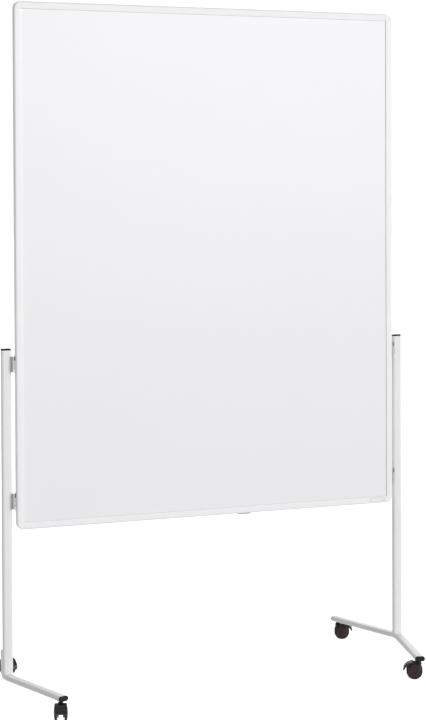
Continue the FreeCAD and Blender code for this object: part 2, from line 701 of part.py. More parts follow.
def housing():
    """Centre body between the wheels, with the swivel boss and the slot for the pedal."""
    disc_start = WHEEL_CENTRE - Y_AXIS * (HOUSING_WIDTH / 2)
    disc = Part.makeCylinder(HOUSING_RADIUS, HOUSING_WIDTH, disc_start, Y_AXIS)
    half = HOUSING_WIDTH / 2
    low = WHEEL_RADIUS - HOUSING_RADIUS
    disc = disc.cut(block(-HOUSING_RADIUS, HOUSING_RADIUS, -half, half, low, HOUSING_UNDERSIDE))
    boss = Part.makeCylinder(BOSS_RADIUS, NECK_FOOT - BOSS_FOOT, SWIVEL_AXIS + Z_AXIS * BOSS_FOOT)
    neck_height = HOUSING_TOP - NECK_FOOT
    neck_start = SWIVEL_AXIS + Z_AXIS * NECK_FOOT
    neck = Part.makeCone(NECK_FOOT_RADIUS, NECK_TOP_RADIUS, neck_height, neck_start)
    body = disc.fuse([boss, neck]).removeSplitter()
    slot = PEDAL_SLOT / 2
    body = body.cut(block(-HOUSING_RADIUS, SLOT_DEEP_END, -slot, slot, low, SLOT_STEP))
    body = body.cut(block(-HOUSING_RADIUS, SLOT_SHALLOW_END, -slot, slot, SLOT_STEP, HOUSING_TOP))
    swivel_bore = SWIVEL_AXIS + Z_AXIS * (STEM_FOOT - STEM_END_GAP)
    body = body.cut(bore(swivel_bore, Z_AXIS, STEM_RADIUS + RUNNING_PLAY, STEM_TOP - STEM_FOOT))
    return body.cut(bore(disc_start, Y_AXIS, AXLE_RADIUS + AXLE_SEAT_PLAY, HOUSING_WIDTH))


def axle():
    start = vec(0, -AXLE_REACH, WHEEL_RADIUS)
    pin = Part.makeCylinder(AXLE_RADIUS, 2 * AXLE_REACH, start, Y_AXIS)
    rims = [e for e in pin.Edges if e.BoundBox.YLength < AXLE_CHAMFER]
    return pin.makeChamfer(AXLE_CHAMFER, rims)


def brake_pedal():
    """Brake lever: a foot plate over the treads on an arm that turns on the wheel axle."""
    inner = [polar(PEDAL_CLEAR_RADIUS, angle) for angle in PEDAL_INNER]
    tip = [polar(radius, angle) for radius, angle in PEDAL_TIP]
    heel = polar(PEDAL_CLEAR_RADIUS + PEDAL_THICKNESS, PEDAL_INNER[0])
    top_curve = Part.BSplineCurve()
    top_curve.interpolate([heel] + [polar(radius, angle) for radius, angle in PEDAL_TOP] + [tip[3]])
    outline = [
        Part.Arc(inner[0], inner[1], inner[2]).toShape(),
        Part.Arc(inner[2], tip[0], tip[1]).toShape(),
        Part.Arc(tip[1], tip[2], tip[3]).toShape(),
        top_curve.toShape(),
        Part.LineSegment(heel, inner[0]).toShape(),
    ]
    plate = across_y(Part.Face(Part.Wire(outline)), PEDAL_WIDTH)
    length = outline[3].Length
    sides = [e for e in plate.Edges if abs(e.Length - length) < 1e-3]
    plate = plate.makeFillet(PEDAL_EDGE_RADIUS, sides)
    hub_start = WHEEL_CENTRE - Y_AXIS * (PEDAL_WEB_WIDTH / 2)
    hub = Part.makeCylinder(PEDAL_HUB_RADIUS, PEDAL_WEB_WIDTH, hub_start, Y_AXIS)
    arm_points = [polar(radius, angle) for radius, angle in PEDAL_ARM]
    arm = across_y(rounded_face(arm_points, [0] * len(arm_points)), PEDAL_WEB_WIDTH)
    lever = plate.fuse([hub, arm]).removeSplitter()
    notch_foot = vec(PEDAL_NOTCH_X, 0, PEDAL_NOTCH_FOOT)
    lever = lever.cut(Part.makeCylinder(PEDAL_NOTCH_RADIUS, WHEEL_RADIUS, notch_foot, Z_AXIS))
    return lever.cut(bore(hub_start, Y_AXIS, AXLE_RADIUS + RUNNING_PLAY, PEDAL_WEB_WIDTH))


def caster_stem(point):
    """Swivel pin with a flange that bears on the underside of the leg."""
    pin = Part.makeCylinder(STEM_RADIUS, STEM_TOP - STEM_FOOT, vec(point.x, point.y, STEM_FOOT))
    flange_base = vec(point.x, point.y, LEG_UNDERSIDE - STEM_FLANGE)
    flange = Part.makeCylinder(STEM_FLANGE_RADIUS, STEM_FLANGE, flange_base)
    return pin.fuse(flange).removeSplitter()


def stem_point(side, end):
    point = leg_point(end, STEM_FROM_VERTEX)
    return vec(side * point.x, point.y, 0)


def placed_caster(shape, side, end, heading):
    """Turn a caster piece about its swivel axis and move it under its leg."""
    piece = shape.copy()
    piece.translate(-SWIVEL_AXIS)
    piece.rotate(vec(0, 0, 0), Z_AXIS, heading - 180)
    piece.translate(stem_point(side, end))
    return piece


# --- Assembly --------------------------------------------------------------------------------
nodes = {
    "front_sheet": writing_sheet(-1),
    "back_sheet": writing_sheet(1),
    "board_core": board_core(),
    "corner_screws": corner_screws(),
    "label_plate": label_plate(),
    "bottom_clip": bottom_clip(),
}

for across_edge in ("top", "bottom"):
    nodes["rail_" + across_edge] = rail(across_edge)
    for upright_edge in ("left", "right"):
        nodes[f"corner_{across_edge}_{upright_edge}"] = corner(across_edge, upright_edge)

right_foot = foot()
right_upright = upright()
hook_group = []
bracket_group = []
bolt_group = []
nut_group = []
stem_group = []

for side_name, side in SIDES.items():
    side_rail = rail(side_name)
    for point in hook_screw_points():
        side_rail = side_rail.cut(mirrored(hook_screw(point, HOOK_SCREW_PLAY), side))
    nodes["rail_" + side_name] = side_rail
    nodes["foot_" + side_name] = mirrored(right_foot, side)
    nodes["upright_" + side_name] = mirrored(right_upright, side)
    nodes["upright_cap_" + side_name] = mirrored(upright_cap(), side)
    nodes["upright_insert_" + side_name] = mirrored(upright_insert(), side)
    for height_name, height in BRACKET_HEIGHTS.items():
        place = f"{side_name}_{height_name}"
        nodes["upright_bracket_" + place] = mirrored(upright_bracket(height), side)
        nodes["board_hook_" + place] = mirrored(board_hook(height), side)
    hook_group += hook_screws(side)
    bracket_group += bracket_screws(side)
    bolt_group.append(mirrored(foot_bolt(), side))
    for end_name, end in ENDS.items():
        corner_name = f"{end_name}_{side_name}"
        nodes["leg_plug_" + corner_name] = mirrored(leg_plug(end), side)
        nut_group.append(mirrored(stem_nut(end), side))
        stem_group.append(caster_stem(stem_point(side, end)))
        pieces = {
            "housing": housing(),
            "axle": axle(),
            "wheel_left": wheel(-1),
            "wheel_right": wheel(1),
            "brake_pedal": brake_pedal(),
        }
        press = PEDALS_AT_REST[corner_name]
        pieces["brake_pedal"].rotate(vec(0, 0, WHEEL_RADIUS), Y_AXIS, -press)
        heading = CASTER_HEADINGS[corner_name]
        for piece_name, shape in pieces.items():
            name = f"caster_{corner_name}_{piece_name}"
            nodes[name] = placed_caster(shape, side, end, heading)

nodes["hook_screws"] = Part.makeCompound(hook_group)
nodes["bracket_screws"] = Part.makeCompound(bracket_group)
nodes["foot_bolts"] = Part.makeCompound(bolt_group)
nodes["stem_nuts"] = Part.makeCompound(nut_group)
nodes["caster_stems"] = Part.makeCompound(stem_group)

os.makedirs("parts", exist_ok=True)
for name, shape in nodes.items():
    shape.exportStep(f"parts/{name}.step")
    print(f"{name:36s} solids {len(shape.Solids)} valid {shape.isValid()} volume {shape.Volume:.0f}")
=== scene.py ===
import json
import math

import bmesh
import bpy
from mathutils import Matrix, Vector


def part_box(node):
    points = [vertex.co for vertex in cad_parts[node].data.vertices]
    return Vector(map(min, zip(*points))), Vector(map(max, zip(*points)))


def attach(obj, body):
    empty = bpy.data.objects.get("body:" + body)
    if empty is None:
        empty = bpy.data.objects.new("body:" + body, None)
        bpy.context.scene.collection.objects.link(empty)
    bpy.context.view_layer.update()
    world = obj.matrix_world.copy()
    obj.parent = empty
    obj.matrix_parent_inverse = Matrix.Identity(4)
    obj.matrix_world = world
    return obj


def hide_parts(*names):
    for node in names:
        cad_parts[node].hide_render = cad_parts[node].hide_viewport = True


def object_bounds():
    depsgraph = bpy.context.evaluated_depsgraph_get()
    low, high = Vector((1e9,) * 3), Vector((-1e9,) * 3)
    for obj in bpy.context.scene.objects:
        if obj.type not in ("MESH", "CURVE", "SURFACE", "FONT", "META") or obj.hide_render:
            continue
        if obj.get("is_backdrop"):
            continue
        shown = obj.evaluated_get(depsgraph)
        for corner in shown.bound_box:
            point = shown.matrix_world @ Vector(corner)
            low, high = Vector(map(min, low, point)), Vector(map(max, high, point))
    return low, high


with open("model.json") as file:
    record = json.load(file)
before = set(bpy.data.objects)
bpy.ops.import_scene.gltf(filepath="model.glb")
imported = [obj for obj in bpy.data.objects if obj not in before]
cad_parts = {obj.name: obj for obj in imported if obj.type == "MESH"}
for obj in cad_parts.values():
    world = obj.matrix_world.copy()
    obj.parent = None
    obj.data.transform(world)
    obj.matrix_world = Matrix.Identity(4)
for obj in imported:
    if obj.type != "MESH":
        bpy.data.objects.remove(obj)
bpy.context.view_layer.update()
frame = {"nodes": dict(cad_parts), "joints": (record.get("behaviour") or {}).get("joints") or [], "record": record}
record = frame["record"]
joints = {joint["name"]: joint for joint in frame["joints"]}

MM = 0.001
X = Vector((1, 0, 0))
Y = Vector((0, 1, 0))
Z = Vector((0, 0, 1))
SIDES = {"left": -1, "right": 1}
ENDS = {"front": -1, "rear": 1}


# --- Mesh helpers ----------------------------------------------------------------------------
def new_mesh(name, vertices, faces, sharp_degrees=32):
    """Mesh with merged points, outward normals, and smooth shading up to an angle."""
    mesh = bpy.data.meshes.new(name)
    mesh.from_pydata([tuple(v) for v in vertices], [], faces)
    tidy_mesh(mesh, sharp_degrees)
    return mesh


def tidy_mesh(mesh, sharp_degrees=32):
    """Merges double points, turns the normals outward and sets the shading."""
    bm = bmesh.new()
    bm.from_mesh(mesh)
    bmesh.ops.remove_doubles(bm, verts=bm.verts, dist=1e-7)
    bmesh.ops.dissolve_degenerate(bm, edges=bm.edges, dist=1e-7)
    bmesh.ops.recalc_face_normals(bm, faces=bm.faces)
    bm.to_mesh(mesh)
    bm.free()
    mesh.shade_smooth()
    mesh.set_sharp_from_angle(angle=math.radians(sharp_degrees))


def new_object(name, mesh, matrix=None):
    obj = bpy.data.objects.new(name, mesh)
    bpy.context.scene.collection.objects.link(obj)
    if matrix is not None:
        obj.matrix_world = matrix
    return obj


def place(obj, body, material, node):
    """Puts a finished piece on its body, in place of its CAD node."""
    if not obj.data.materials:
        obj.data.materials.append(material)
    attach(obj, body)
    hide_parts(node)


def rounded_outline(points, radii, steps=6):
    """2-D outline with each corner replaced by an arc of its own radius."""
    out = []
    count = len(points)
    for i in range(count):
        corner = Vector(points[i])
        radius = radii[i]
        if radius <= 0:
            out.append(corner)
            continue
        back = (Vector(points[i - 1]) - corner).normalized()
        ahead = (Vector(points[(i + 1) % count]) - corner).normalized()
        half = back.angle(ahead) / 2
        centre = corner + (back + ahead).normalized() * (radius / math.sin(half))
        start = corner + back * (radius / math.tan(half)) - centre
        end = corner + ahead * (radius / math.tan(half)) - centre
        sweep = start.angle_signed(end)
        for k in range(steps + 1):
            turn = Matrix.Rotation(-sweep * k / steps, 2)
            out.append(centre + turn @ start)
    return out


def oval_outline(width, height, steps=14):
    """Flat-oval outline, centred on the origin."""
    radius = height / 2
    flat = width / 2 - radius
    out = []
    for side in (1, -1):
        for k in range(steps + 1):
            angle = math.radians(-90 + 180 * k / steps) + (0 if side > 0 else math.pi)
            out.append(Vector((side * flat + radius * math.cos(angle), radius * math.sin(angle))))
    return out


def loft(name, rings, sharp_degrees=32):
    """Skin over rings of the same number of points, with flat ends."""
    vertices = [point for ring in rings for point in ring]
    count = len(rings[0])
    faces = []
    for r in range(len(rings) - 1):
        for i in range(count):
            j = (i + 1) % count
            a, b = r * count, (r + 1) * count
            faces.append((a + i, a + j, b + j, b + i))
    faces.append(tuple(reversed(range(count))))
    last = (len(rings) - 1) * count
    faces.append(tuple(last + i for i in range(count)))
    return new_mesh(name, vertices, faces, sharp_degrees)


def ring_of(outline, origin, across, up):
    """The 2-D outline's points in space, in the plane of the two directions."""
    ring = []
    for point in outline:
        flat = Vector(point)
        ring.append(origin + across * flat.x + up * flat.y)
    return ring


def lathe(name, profile, segments, sharp_degrees):
    """Solid turned about the local Y axis from (radius, y) points that start and end on it."""
    rings = []
    for radius, height in profile:
        ring = []
        for k in range(segments):
            angle = 2 * math.pi * k / segments
            ring.append(Vector((radius * math.cos(angle), height, radius * math.sin(angle))))
        rings.append(ring)
    return loft(name, rings, sharp_degrees)


def rectangle(half_width, half_height):
    """Corners of a rectangle round the origin, in order."""
    return [
        (-half_width, -half_height),
        (half_width, -half_height),
        (half_width, half_height),
        (-half_width, half_height),
    ]


def prism(name, outline, origin, across, up, depth):
    """Straight prism from a 2-D outline, from origin along the depth vector."""
    near = ring_of(outline, origin, across, up)
    far = [point + depth for point in near]
    return loft(name, [near, far])


def box_mesh(name, low, high):
    """Upright box between two corners."""
    outline = [(low[0], low[1]), (high[0], low[1]), (high[0], high[1]), (low[0], high[1])]
    return prism(name, outline, Z * low[2], X, Y, Z * (high[2] - low[2]))


def combined(name, base, operations):
    """One mesh from a base mesh and a list of ("UNION" or "DIFFERENCE", mesh)."""
    obj = new_object(name + "_work", base)
    helpers = []
    for kind, mesh in operations:
        helper = new_object(name + "_tool", mesh)
        helpers.append(helper)
        modifier = obj.modifiers.new("op", "BOOLEAN")
        modifier.operation = kind
        modifier.solver = "EXACT"
        modifier.object = helper
    bpy.context.view_layer.update()
    graph = bpy.context.evaluated_depsgraph_get()
    mesh = bpy.data.meshes.new_from_object(obj.evaluated_get(graph))
    mesh.name = name
    for extra in helpers + [obj]:
        bpy.data.objects.remove(extra)
    tidy_mesh(mesh)
    return mesh


def soften(obj, width, segments=2, degrees=35):
    """Rounded edges, as moulding, casting or bending leaves them."""
    bevel = obj.modifiers.new("rounding", "BEVEL")
    bevel.width = width
    bevel.segments = segments
    bevel.limit_method = "ANGLE"
    bevel.angle_limit = math.radians(degrees)
    bevel.harden_normals = False
    bevel.use_clamp_overlap = True


# --- Material helpers ------------------------------------------------------------------------
class Nodes:
    """Short way to add and join shader nodes."""

    def __init__(self, name):
        self.material = bpy.data.materials.new(name)
        self.material.use_nodes = True
        self.tree = self.material.node_tree
        self.shader = self.tree.nodes["Principled BSDF"]
        self.place = self.tree.nodes.new("ShaderNodeTexCoord").outputs["Object"]

    def add(self, kind, inputs=None, **settings):
        node = self.tree.nodes.new("ShaderNode" + kind)
        for key, value in settings.items():
            setattr(node, key, value)
        for key, value in (inputs or {}).items():
            if isinstance(value, bpy.types.NodeSocket):
                self.tree.links.new(value, node.inputs[key])
            else:
                node.inputs[key].default_value = value
        return node

    def scaled(self, scale):
        return self.add("Mapping", {"Vector": self.place, "Scale": scale}).outputs["Vector"]

    def noise(self, scale, detail=3.0, roughness=0.55, vector=None, distortion=0.0):
        inputs = {"Scale": scale, "Detail": detail, "Roughness": roughness, "Distortion": distortion}
        inputs["Vector"] = self.place if vector is None else vector
        return self.add("TexNoise", inputs).outputs["Fac"]

    def ramp(self, value, low, high, to_low=0.0, to_high=1.0):
        inputs = {"Value": value, "From Min": low, "From Max": high}
        inputs["To Min"] = to_low
        inputs["To Max"] = to_high
        return self.add("MapRange", inputs, interpolation_type="SMOOTHSTEP").outputs["Result"]

    def mix(self, factor, first, second):
        node = self.add("Mix", data_type="RGBA")
        sockets = (node.inputs[0], node.inputs[6], node.inputs[7])
        for socket, value in zip(sockets, (factor, first, second)):
            if isinstance(value, bpy.types.NodeSocket):
                self.tree.links.new(value, socket)
            else:
                socket.default_value = value
        return node.outputs[2]

    def math(self, operation, first, second):
        node = self.add("Math", operation=operation)
        for socket, value in zip(node.inputs, (first, second)):
            if isinstance(value, bpy.types.NodeSocket):
                self.tree.links.new(value, socket)
            else:
                socket.default_value = value
        return node.outputs[0]

    def bump(self, height, distance, strength):
        inputs = {"Height": height, "Distance": distance, "Strength": strength}
        return self.add("Bump", inputs).outputs["Normal"]

    def finish(self, colour, roughness, normal, **fixed):
        for key, value in (("Base Color", colour), ("Roughness", roughness), ("Normal", normal)):
            if value is not None:
                self.tree.links.new(value, self.shader.inputs[key])
        for key, value in fixed.items():
            self.shader.inputs[key.replace("_", " ")].default_value = value
        return self.material


def grey(value, red=0.0, blue=0.0):
    return (value + red, value, value + blue, 1.0)


def edge_wear(n, low=0.515, high=0.56):
    """Where the surface bends outward, as rubbed edges do."""
    return n.ramp(n.add("NewGeometry").outputs["Pointiness"], low, high)


def enamel():
    """White enamelled sheet: faint cloudiness, wiping marks and orange peel."""
    n = Nodes("writing_enamel")
    cloud = n.ramp(n.noise(2.2, 4.0), 0.35, 0.7)
    wipes = n.ramp(n.noise(4.0, 5.0, 0.55, n.scaled((0.4, 1.0, 2.2)), 0.6), 0.42, 0.9)
    specks = n.ramp(n.noise(900.0, 1.0), 0.72, 0.78)
    colour = n.mix(cloud, (0.868, 0.864, 0.884, 1), (0.862, 0.857, 0.88, 1))
    colour = n.mix(n.math("MULTIPLY", wipes, 0.12), colour, (0.82, 0.82, 0.84, 1))
    colour = n.mix(n.math("MULTIPLY", specks, 0.06), colour, (0.7, 0.7, 0.71, 1))
    gloss = n.ramp(n.noise(14.0), 0.3, 0.7, 0.29, 0.3)
    roughness = n.math("ADD", n.math("MULTIPLY", wipes, 0.01), gloss)
    peel = n.bump(n.noise(420.0, 2.0), 0.00002, 0.5)
    fixed = {"Coat_Weight": 0.08, "Coat_Roughness": 0.2, "Specular_IOR_Level": 0.35}
    return n.finish(colour, roughness, peel, **fixed)


def painted(name, value, grain, blue, gloss):
    """White powder coat: fine orange peel, slight cloudiness, and rubbed edges."""
    n = Nodes(name)
    cloud = n.ramp(n.noise(9.0, 4.0), 0.3, 0.72)
    dust = n.ramp(n.noise(160.0, 4.0, 0.7), 0.5, 0.85)
    colour = n.mix(cloud, grey(value, 0, blue), grey(value * 0.965, 0, blue))
    colour = n.mix(n.math("MULTIPLY", dust, 0.18), colour, grey(value * 0.86, 0.006))
    colour = n.mix(n.math("MULTIPLY", edge_wear(n), 0.35), colour, grey(value * 0.93))
    roughness = n.ramp(n.noise(60.0, 4.0), 0.25, 0.75, gloss - 0.05, gloss + 0.09)
    peel = n.bump(n.noise(grain, 2.0), 0.00005, 0.55)
    return n.finish(colour, roughness, peel)


def top_edge_shade(n):
    """Painted shade on the board's upper edge: faint on the face of the rail, full on its rounding."""
    height = n.add("SeparateXYZ", {"Vector": n.place}).outputs["Z"]
    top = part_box("rail_top")[1].z
    face = n.ramp(height, top - 0.023, top - 0.017, 0.0, 0.3)
    rounding = n.ramp(height, top - 0.0045, top - 0.001, 0.0, 0.7)
    return n.math("ADD", face, rounding)


def frame_paint():
    """The frame's powder coat, with painted shade along the board's upper edge."""
    n = Nodes("frame_paint")
    edge_shade = top_edge_shade(n)
    cloud = n.ramp(n.noise(9.0, 4.0), 0.3, 0.72)
    colour = n.mix(cloud, grey(0.9, 0, 0.006), grey(0.885, 0, 0.006))
    dust = n.ramp(n.noise(160.0, 4.0, 0.7), 0.5, 0.85)
    colour = n.mix(n.math("MULTIPLY", dust, 0.1), colour, grey(0.8, 0.004))
    patchy = n.ramp(n.noise(24.0, 4.0, 0.6), 0.25, 0.8, 0.8, 1.0)
    # painted shade on the board's upper edge, made patchy with noise
    colour = n.mix(n.math("MULTIPLY", edge_shade, patchy), colour, grey(0.72))
    roughness = n.ramp(n.noise(60.0, 4.0), 0.25, 0.75, 0.37, 0.5)
    return n.finish(colour, roughness, n.bump(n.noise(700.0, 2.0), 0.00005, 0.5))


def moulded(name, value, red=0.0, gloss=0.5, grain=1800.0, depth=0.00004, scuff=0.35, shine=0.5,
            shade_top_edge=False):
    """Moulded plastic: fine spark-eroded grain, faint flow marks, paler rubbed edges."""
    n = Nodes(name)
    flow = n.ramp(n.noise(55.0, 4.0, 0.6, None, 1.2), 0.3, 0.75)
    base = grey(value, red)
    paler = grey(min(value * 1.25 + 0.004, value + 0.01), red)
    rubbed = grey(min(value * 1.9 + 0.03, 0.88), red * 0.5)
    colour = n.mix(flow, base, paler)
    rub = n.math("MULTIPLY", edge_wear(n, 0.51, 0.58), n.ramp(n.noise(260.0, 4.0), 0.35, 0.7))
    colour = n.mix(n.math("MULTIPLY", rub, scuff), colour, rubbed)
    if shade_top_edge:
        # painted shade on the board's upper edge
        colour = n.mix(top_edge_shade(n), colour, grey(0.72))
    roughness = n.ramp(n.noise(340.0, 3.0), 0.3, 0.7, gloss - 0.06, gloss + 0.1)
    texture = n.bump(n.noise(grain, 2.0, 0.6), depth, 0.7)
    return n.finish(colour, roughness, texture, Specular_IOR_Level=shine)


def metal(name, value, stretch, gloss=0.38, metallic=1.0):
    """Plain metal with fine drawn lines, small stains and brighter edges."""
    n = Nodes(name)
    lines = n.noise(900.0, 3.0, 0.6, n.scaled(stretch))
    stain = n.ramp(n.noise(120.0, 4.0), 0.4, 0.75)
    colour = n.mix(stain, grey(value), grey(value * 0.86, 0.004))
    colour = n.mix(n.math("MULTIPLY", n.ramp(lines, 0.4, 0.65), 0.3), colour, grey(value * 0.8))
    colour = n.mix(n.math("MULTIPLY", edge_wear(n), 0.5), colour, grey(min(1.0, value * 1.2)))
    roughness = n.ramp(lines, 0.3, 0.7, gloss - 0.08, gloss + 0.12)
    return n.finish(colour, roughness, n.bump(lines, 0.00002, 0.5), Metallic=metallic)


def wheel_plastic():
    """Brown-black cover with a lighter ring towards its rim, part rubbing and part painted sheen of the domed rim,
    and a blacker tread with dust on its corner.
    """
    n = Nodes("wheel_moulding")
    radius = n.add("VectorMath", {0: n.scaled((1, 0, 1))}, operation="LENGTH").outputs["Value"]
    flow = n.ramp(n.noise(60.0, 4.0, 0.6, None, 1.2), 0.3, 0.75)
    colour = n.mix(flow, (0.022, 0.009, 0.009, 1), (0.029, 0.014, 0.0135, 1))
    # lighter ring towards the cover's rim: painted sheen of the domed rim, partly rubbing, broken up by noise
    rub_and_sheen_noise = n.ramp(n.noise(240.0, 4.0), 0.3, 0.65)
    ring = n.math("MULTIPLY", n.ramp(radius, 0.0158, 0.0182), rub_and_sheen_noise)
    colour = n.mix(n.math("MULTIPLY", ring, 0.55), colour, (0.078, 0.066, 0.063, 1))
    colour = n.mix(n.ramp(radius, 0.0209, 0.0214), colour, (0.009, 0.0075, 0.0075, 1))
    grime = n.ramp(n.noise(300.0, 5.0, 0.7), 0.45, 0.75)
    dust = n.math("MULTIPLY", n.ramp(radius, 0.0234, 0.0239), grime)
    colour = n.mix(n.math("MULTIPLY", dust, 0.4), colour, (0.11, 0.1, 0.09, 1))
    roughness = n.ramp(n.noise(340.0, 3.0), 0.3, 0.7, 0.32, 0.44)
    texture = n.bump(n.noise(1400.0, 2.0, 0.6), 0.00002, 0.7)
    return n.finish(colour, roughness, texture, Specular_IOR_Level=0.28)


def cardboard():
    """Brown fibre board."""
    n = Nodes("core_board")
    fibres = n.ramp(n.noise(500.0, 4.0, 0.7, n.scaled((1, 1, 0.3))), 0.3, 0.7)
    colour = n.mix(fibres, (0.5, 0.36, 0.21, 1), (0.62, 0.47, 0.3, 1))
    roughness = n.ramp(fibres, 0.0, 1.0, 0.8, 0.92)
    return n.finish(colour, roughness, n.bump(fibres, 0.0001, 0.6))


materials = {
    "writing_surface": enamel(),
    "core": cardboard(),
    "frame_white": frame_paint(),
    # the corner pieces take the painted shade on the board's upper edge
    "corner_plastic": moulded("corner_moulding", 0.91, 0.0, 0.42, 900.0, 0.00002, 0.05, shade_top_edge=True),
    "label": painted("label_face", 0.9, 1500.0, 0.0, 0.22),
    "grey_plastic": moulded("clip_moulding", 0.36, 0.0, 0.5),
    "bracket_metal": metal("bracket_zinc", 0.55, (0.2, 1.0, 3.0), 0.5, 0.25),
    "black_plastic": moulded("plug_moulding", 0.006, 0.0, 0.5, shine=0.2),
    "insert_steel": metal("insert_metal", 0.55, (1, 1, 0.1)),
    "tube_white": painted("tube_paint", 0.84, 900.0, 0.0, 0.4),
    "wheel": wheel_plastic(),
    "caster_plastic": moulded("caster_moulding", 0.014, 0.001, 0.42, 1500.0, 0.00003, shine=0.28),
    "steel": metal("zinc_steel", 0.55, (1, 1, 0.2), 0.35),
}
label_line = moulded("label_line", 0.33, 0.0, 0.5)
pedal_plastic = moulded("pedal_moulding", 0.005, 0.001, 0.24, 1500.0, 0.00003, shine=0.4)
hook_metal = metal("hook_zinc", 0.42, (0.2, 1.0, 3.0), 0.5, 0.25)

slots = {row["node"]: row["material_slot"] for row in record["subparts"]}
for name, node in frame["nodes"].items():
    node.data.materials.clear()
    node.data.materials.append(materials[slots[name]])
    node.data.shade_smooth()
    node.data.set_sharp_from_angle(angle=math.radians(32))


# --- Board -----------------------------------------------------------------------------------
RAIL_FACE = 21 * MM
RAIL_EDGE = 5 * MM
RAIL_LIP = 1 * MM
GROOVE = 12 * MM
GROOVE_PLAY = 0.2 * MM
GROOVE_ROUNDING = 0.3 * MM
RAIL_CHAMFER = 0.25 * MM
SEAM = 0.15 * MM

left_low, left_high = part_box("rail_left")
board_low = Vector((left_low.x, left_low.y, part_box("rail_bottom")[0].z))
board_high = Vector((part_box("rail_right")[1].x, left_high.y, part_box("rail_top")[1].z))
board_mid = (board_low + board_high) / 2
half_board = (board_high - board_low) / 2
groove_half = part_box("board_core")[1].y + GROOVE_PLAY

rail_points = [
    (0, -half_board.y),
    (RAIL_FACE, -half_board.y),
    (RAIL_FACE, -groove_half),
    (RAIL_FACE - GROOVE, -groove_half),
    (RAIL_FACE - GROOVE, groove_half),
    (RAIL_FACE, groove_half),
    (RAIL_FACE, half_board.y),
    (0, half_board.y),
]
rail_radii = [RAIL_EDGE, RAIL_LIP, GROOVE_ROUNDING, 0, 0, GROOVE_ROUNDING, RAIL_LIP, RAIL_EDGE]
rail_outline = rounded_outline(rail_points, rail_radii, 8)

edges = {
    "bottom": (Vector((board_mid.x, 0, board_low.z)), X, Z, half_board.x),
    "top": (Vector((board_mid.x, 0, board_high.z)), X, -Z, half_board.x),
    "left": (Vector((board_low.x, 0, board_mid.z)), Z, X, half_board.z),
    "right": (Vector((board_high.x, 0, board_mid.z)), Z, -X, half_board.z),
}
for edge, (middle, along, inward, reach) in edges.items():
    rings = []
    length = reach - RAIL_FACE - SEAM
    full = length - RAIL_CHAMFER
    for offset, shrink in ((-length, RAIL_CHAMFER), (-full, 0), (full, 0), (length, RAIL_CHAMFER)):
        ring = []
        for point in rail_outline:
            depth = min(max(point.x, shrink), RAIL_FACE - shrink)
            across = max(min(point.y, half_board.y - shrink), -half_board.y + shrink)
            ring.append(middle + along * offset + inward * depth + Y * across)
        rings.append(ring)
    rail = new_object("frame_" + edge, loft("frame_" + edge, rings))
    place(rail, "root", materials["frame_white"], "rail_" + edge)

corner_section = [
    (0, -half_board.y),
    (RAIL_FACE, -half_board.y),
    (RAIL_FACE, half_board.y),
    (0, half_board.y),
]
corner_outline = rounded_outline(corner_section, [0, RAIL_EDGE, RAIL_EDGE, 0], 8)
CORNER_STEPS = 24
CORNER_SOFTNESS = 0.3 * MM
for vertical in ("bottom", "top"):
    for horizontal in ("left", "right"):
        inward_z = edges[vertical][2]
        inward_x = edges[horizontal][2]
        point = Vector((edges[horizontal][0].x, 0, edges[vertical][0].z))
        pivot = point + (inward_x + inward_z) * RAIL_FACE
        rings = []
        for k in range(CORNER_STEPS + 1):
            angle = math.pi / 2 * k / CORNER_STEPS
            outward = -inward_x * math.cos(angle) - inward_z * math.sin(angle)
            rings.append(ring_of(corner_outline, pivot, outward, Y))
        name = f"corner_cap_{vertical}_{horizontal}"
        piece = new_object(name, loft(name, rings))
        soften(piece, CORNER_SOFTNESS)
        node = f"corner_{vertical}_{horizontal}"
        place(piece, "root", materials["corner_plastic"], node)

SHEET_SOFTNESS = 0.15 * MM
for face_name in ("front", "back"):
    low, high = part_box(face_name + "_sheet")
    name = "writing_" + face_name
    sheet = new_object(name, box_mesh(name, low, high))
    soften(sheet, SHEET_SOFTNESS)
    place(sheet, "root", materials["writing_surface"], face_name + "_sheet")


LABEL_CORNER = 1.5 * MM
LABEL_EDGE = 0.25 * MM
LABEL_LEAST_CORNER = 0.2 * MM
LABEL_EDGE_STEPS = 4
LABEL_BORDER = 0.9 * MM
LABEL_LINE = 0.5 * MM
LABEL_SUNK = 0.12 * MM


def rounded_plate(name, low, high, corner, edge):
    """Thin plate in the X-Z plane, facing -Y, with rounded corners and a rounded front edge."""
    half = (high - low) / 2
    centre = Vector(((low.x + high.x) / 2, 0, (low.z + high.z) / 2))
    back = rounded_outline(rectangle(half.x, half.z), [corner] * 4)
    rings = [ring_of(back, centre + Y * high.y, X, Z)]
    for k in range(LABEL_EDGE_STEPS + 1):
        angle = math.pi / 2 * k / LABEL_EDGE_STEPS
        inset = edge * (1 - math.cos(angle))
        radius = max(corner - inset, LABEL_LEAST_CORNER)
        outline = rounded_outline(rectangle(half.x - inset, half.z - inset), [radius] * 4)
        origin = centre + Y * (low.y + edge * (1 - math.sin(angle)))
        rings.append(ring_of(outline, origin, X, Z))
    return loft(name, rings)


low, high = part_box("label_plate")
plate = rounded_plate("blank_label", low, high, LABEL_CORNER, LABEL_EDGE)
bm = bmesh.new()
bm.from_mesh(plate)
front = min(bm.faces, key=lambda f: (f.calc_center_median().y, -f.calc_area()))
bmesh.ops.inset_region(bm, faces=[front], thickness=LABEL_BORDER)
line = bmesh.ops.inset_region(bm, faces=[front], thickness=LABEL_LINE)
for f in line["faces"]:
    f.material_index = 1
bmesh.ops.translate(bm, verts=front.verts, vec=(0, LABEL_SUNK, 0))
bm.to_mesh(plate)
bm.free()
plate.materials.append(materials["label"])
plate.materials.append(label_line)
place(new_object("blank_label", plate), "root", materials["label"], "label_plate")

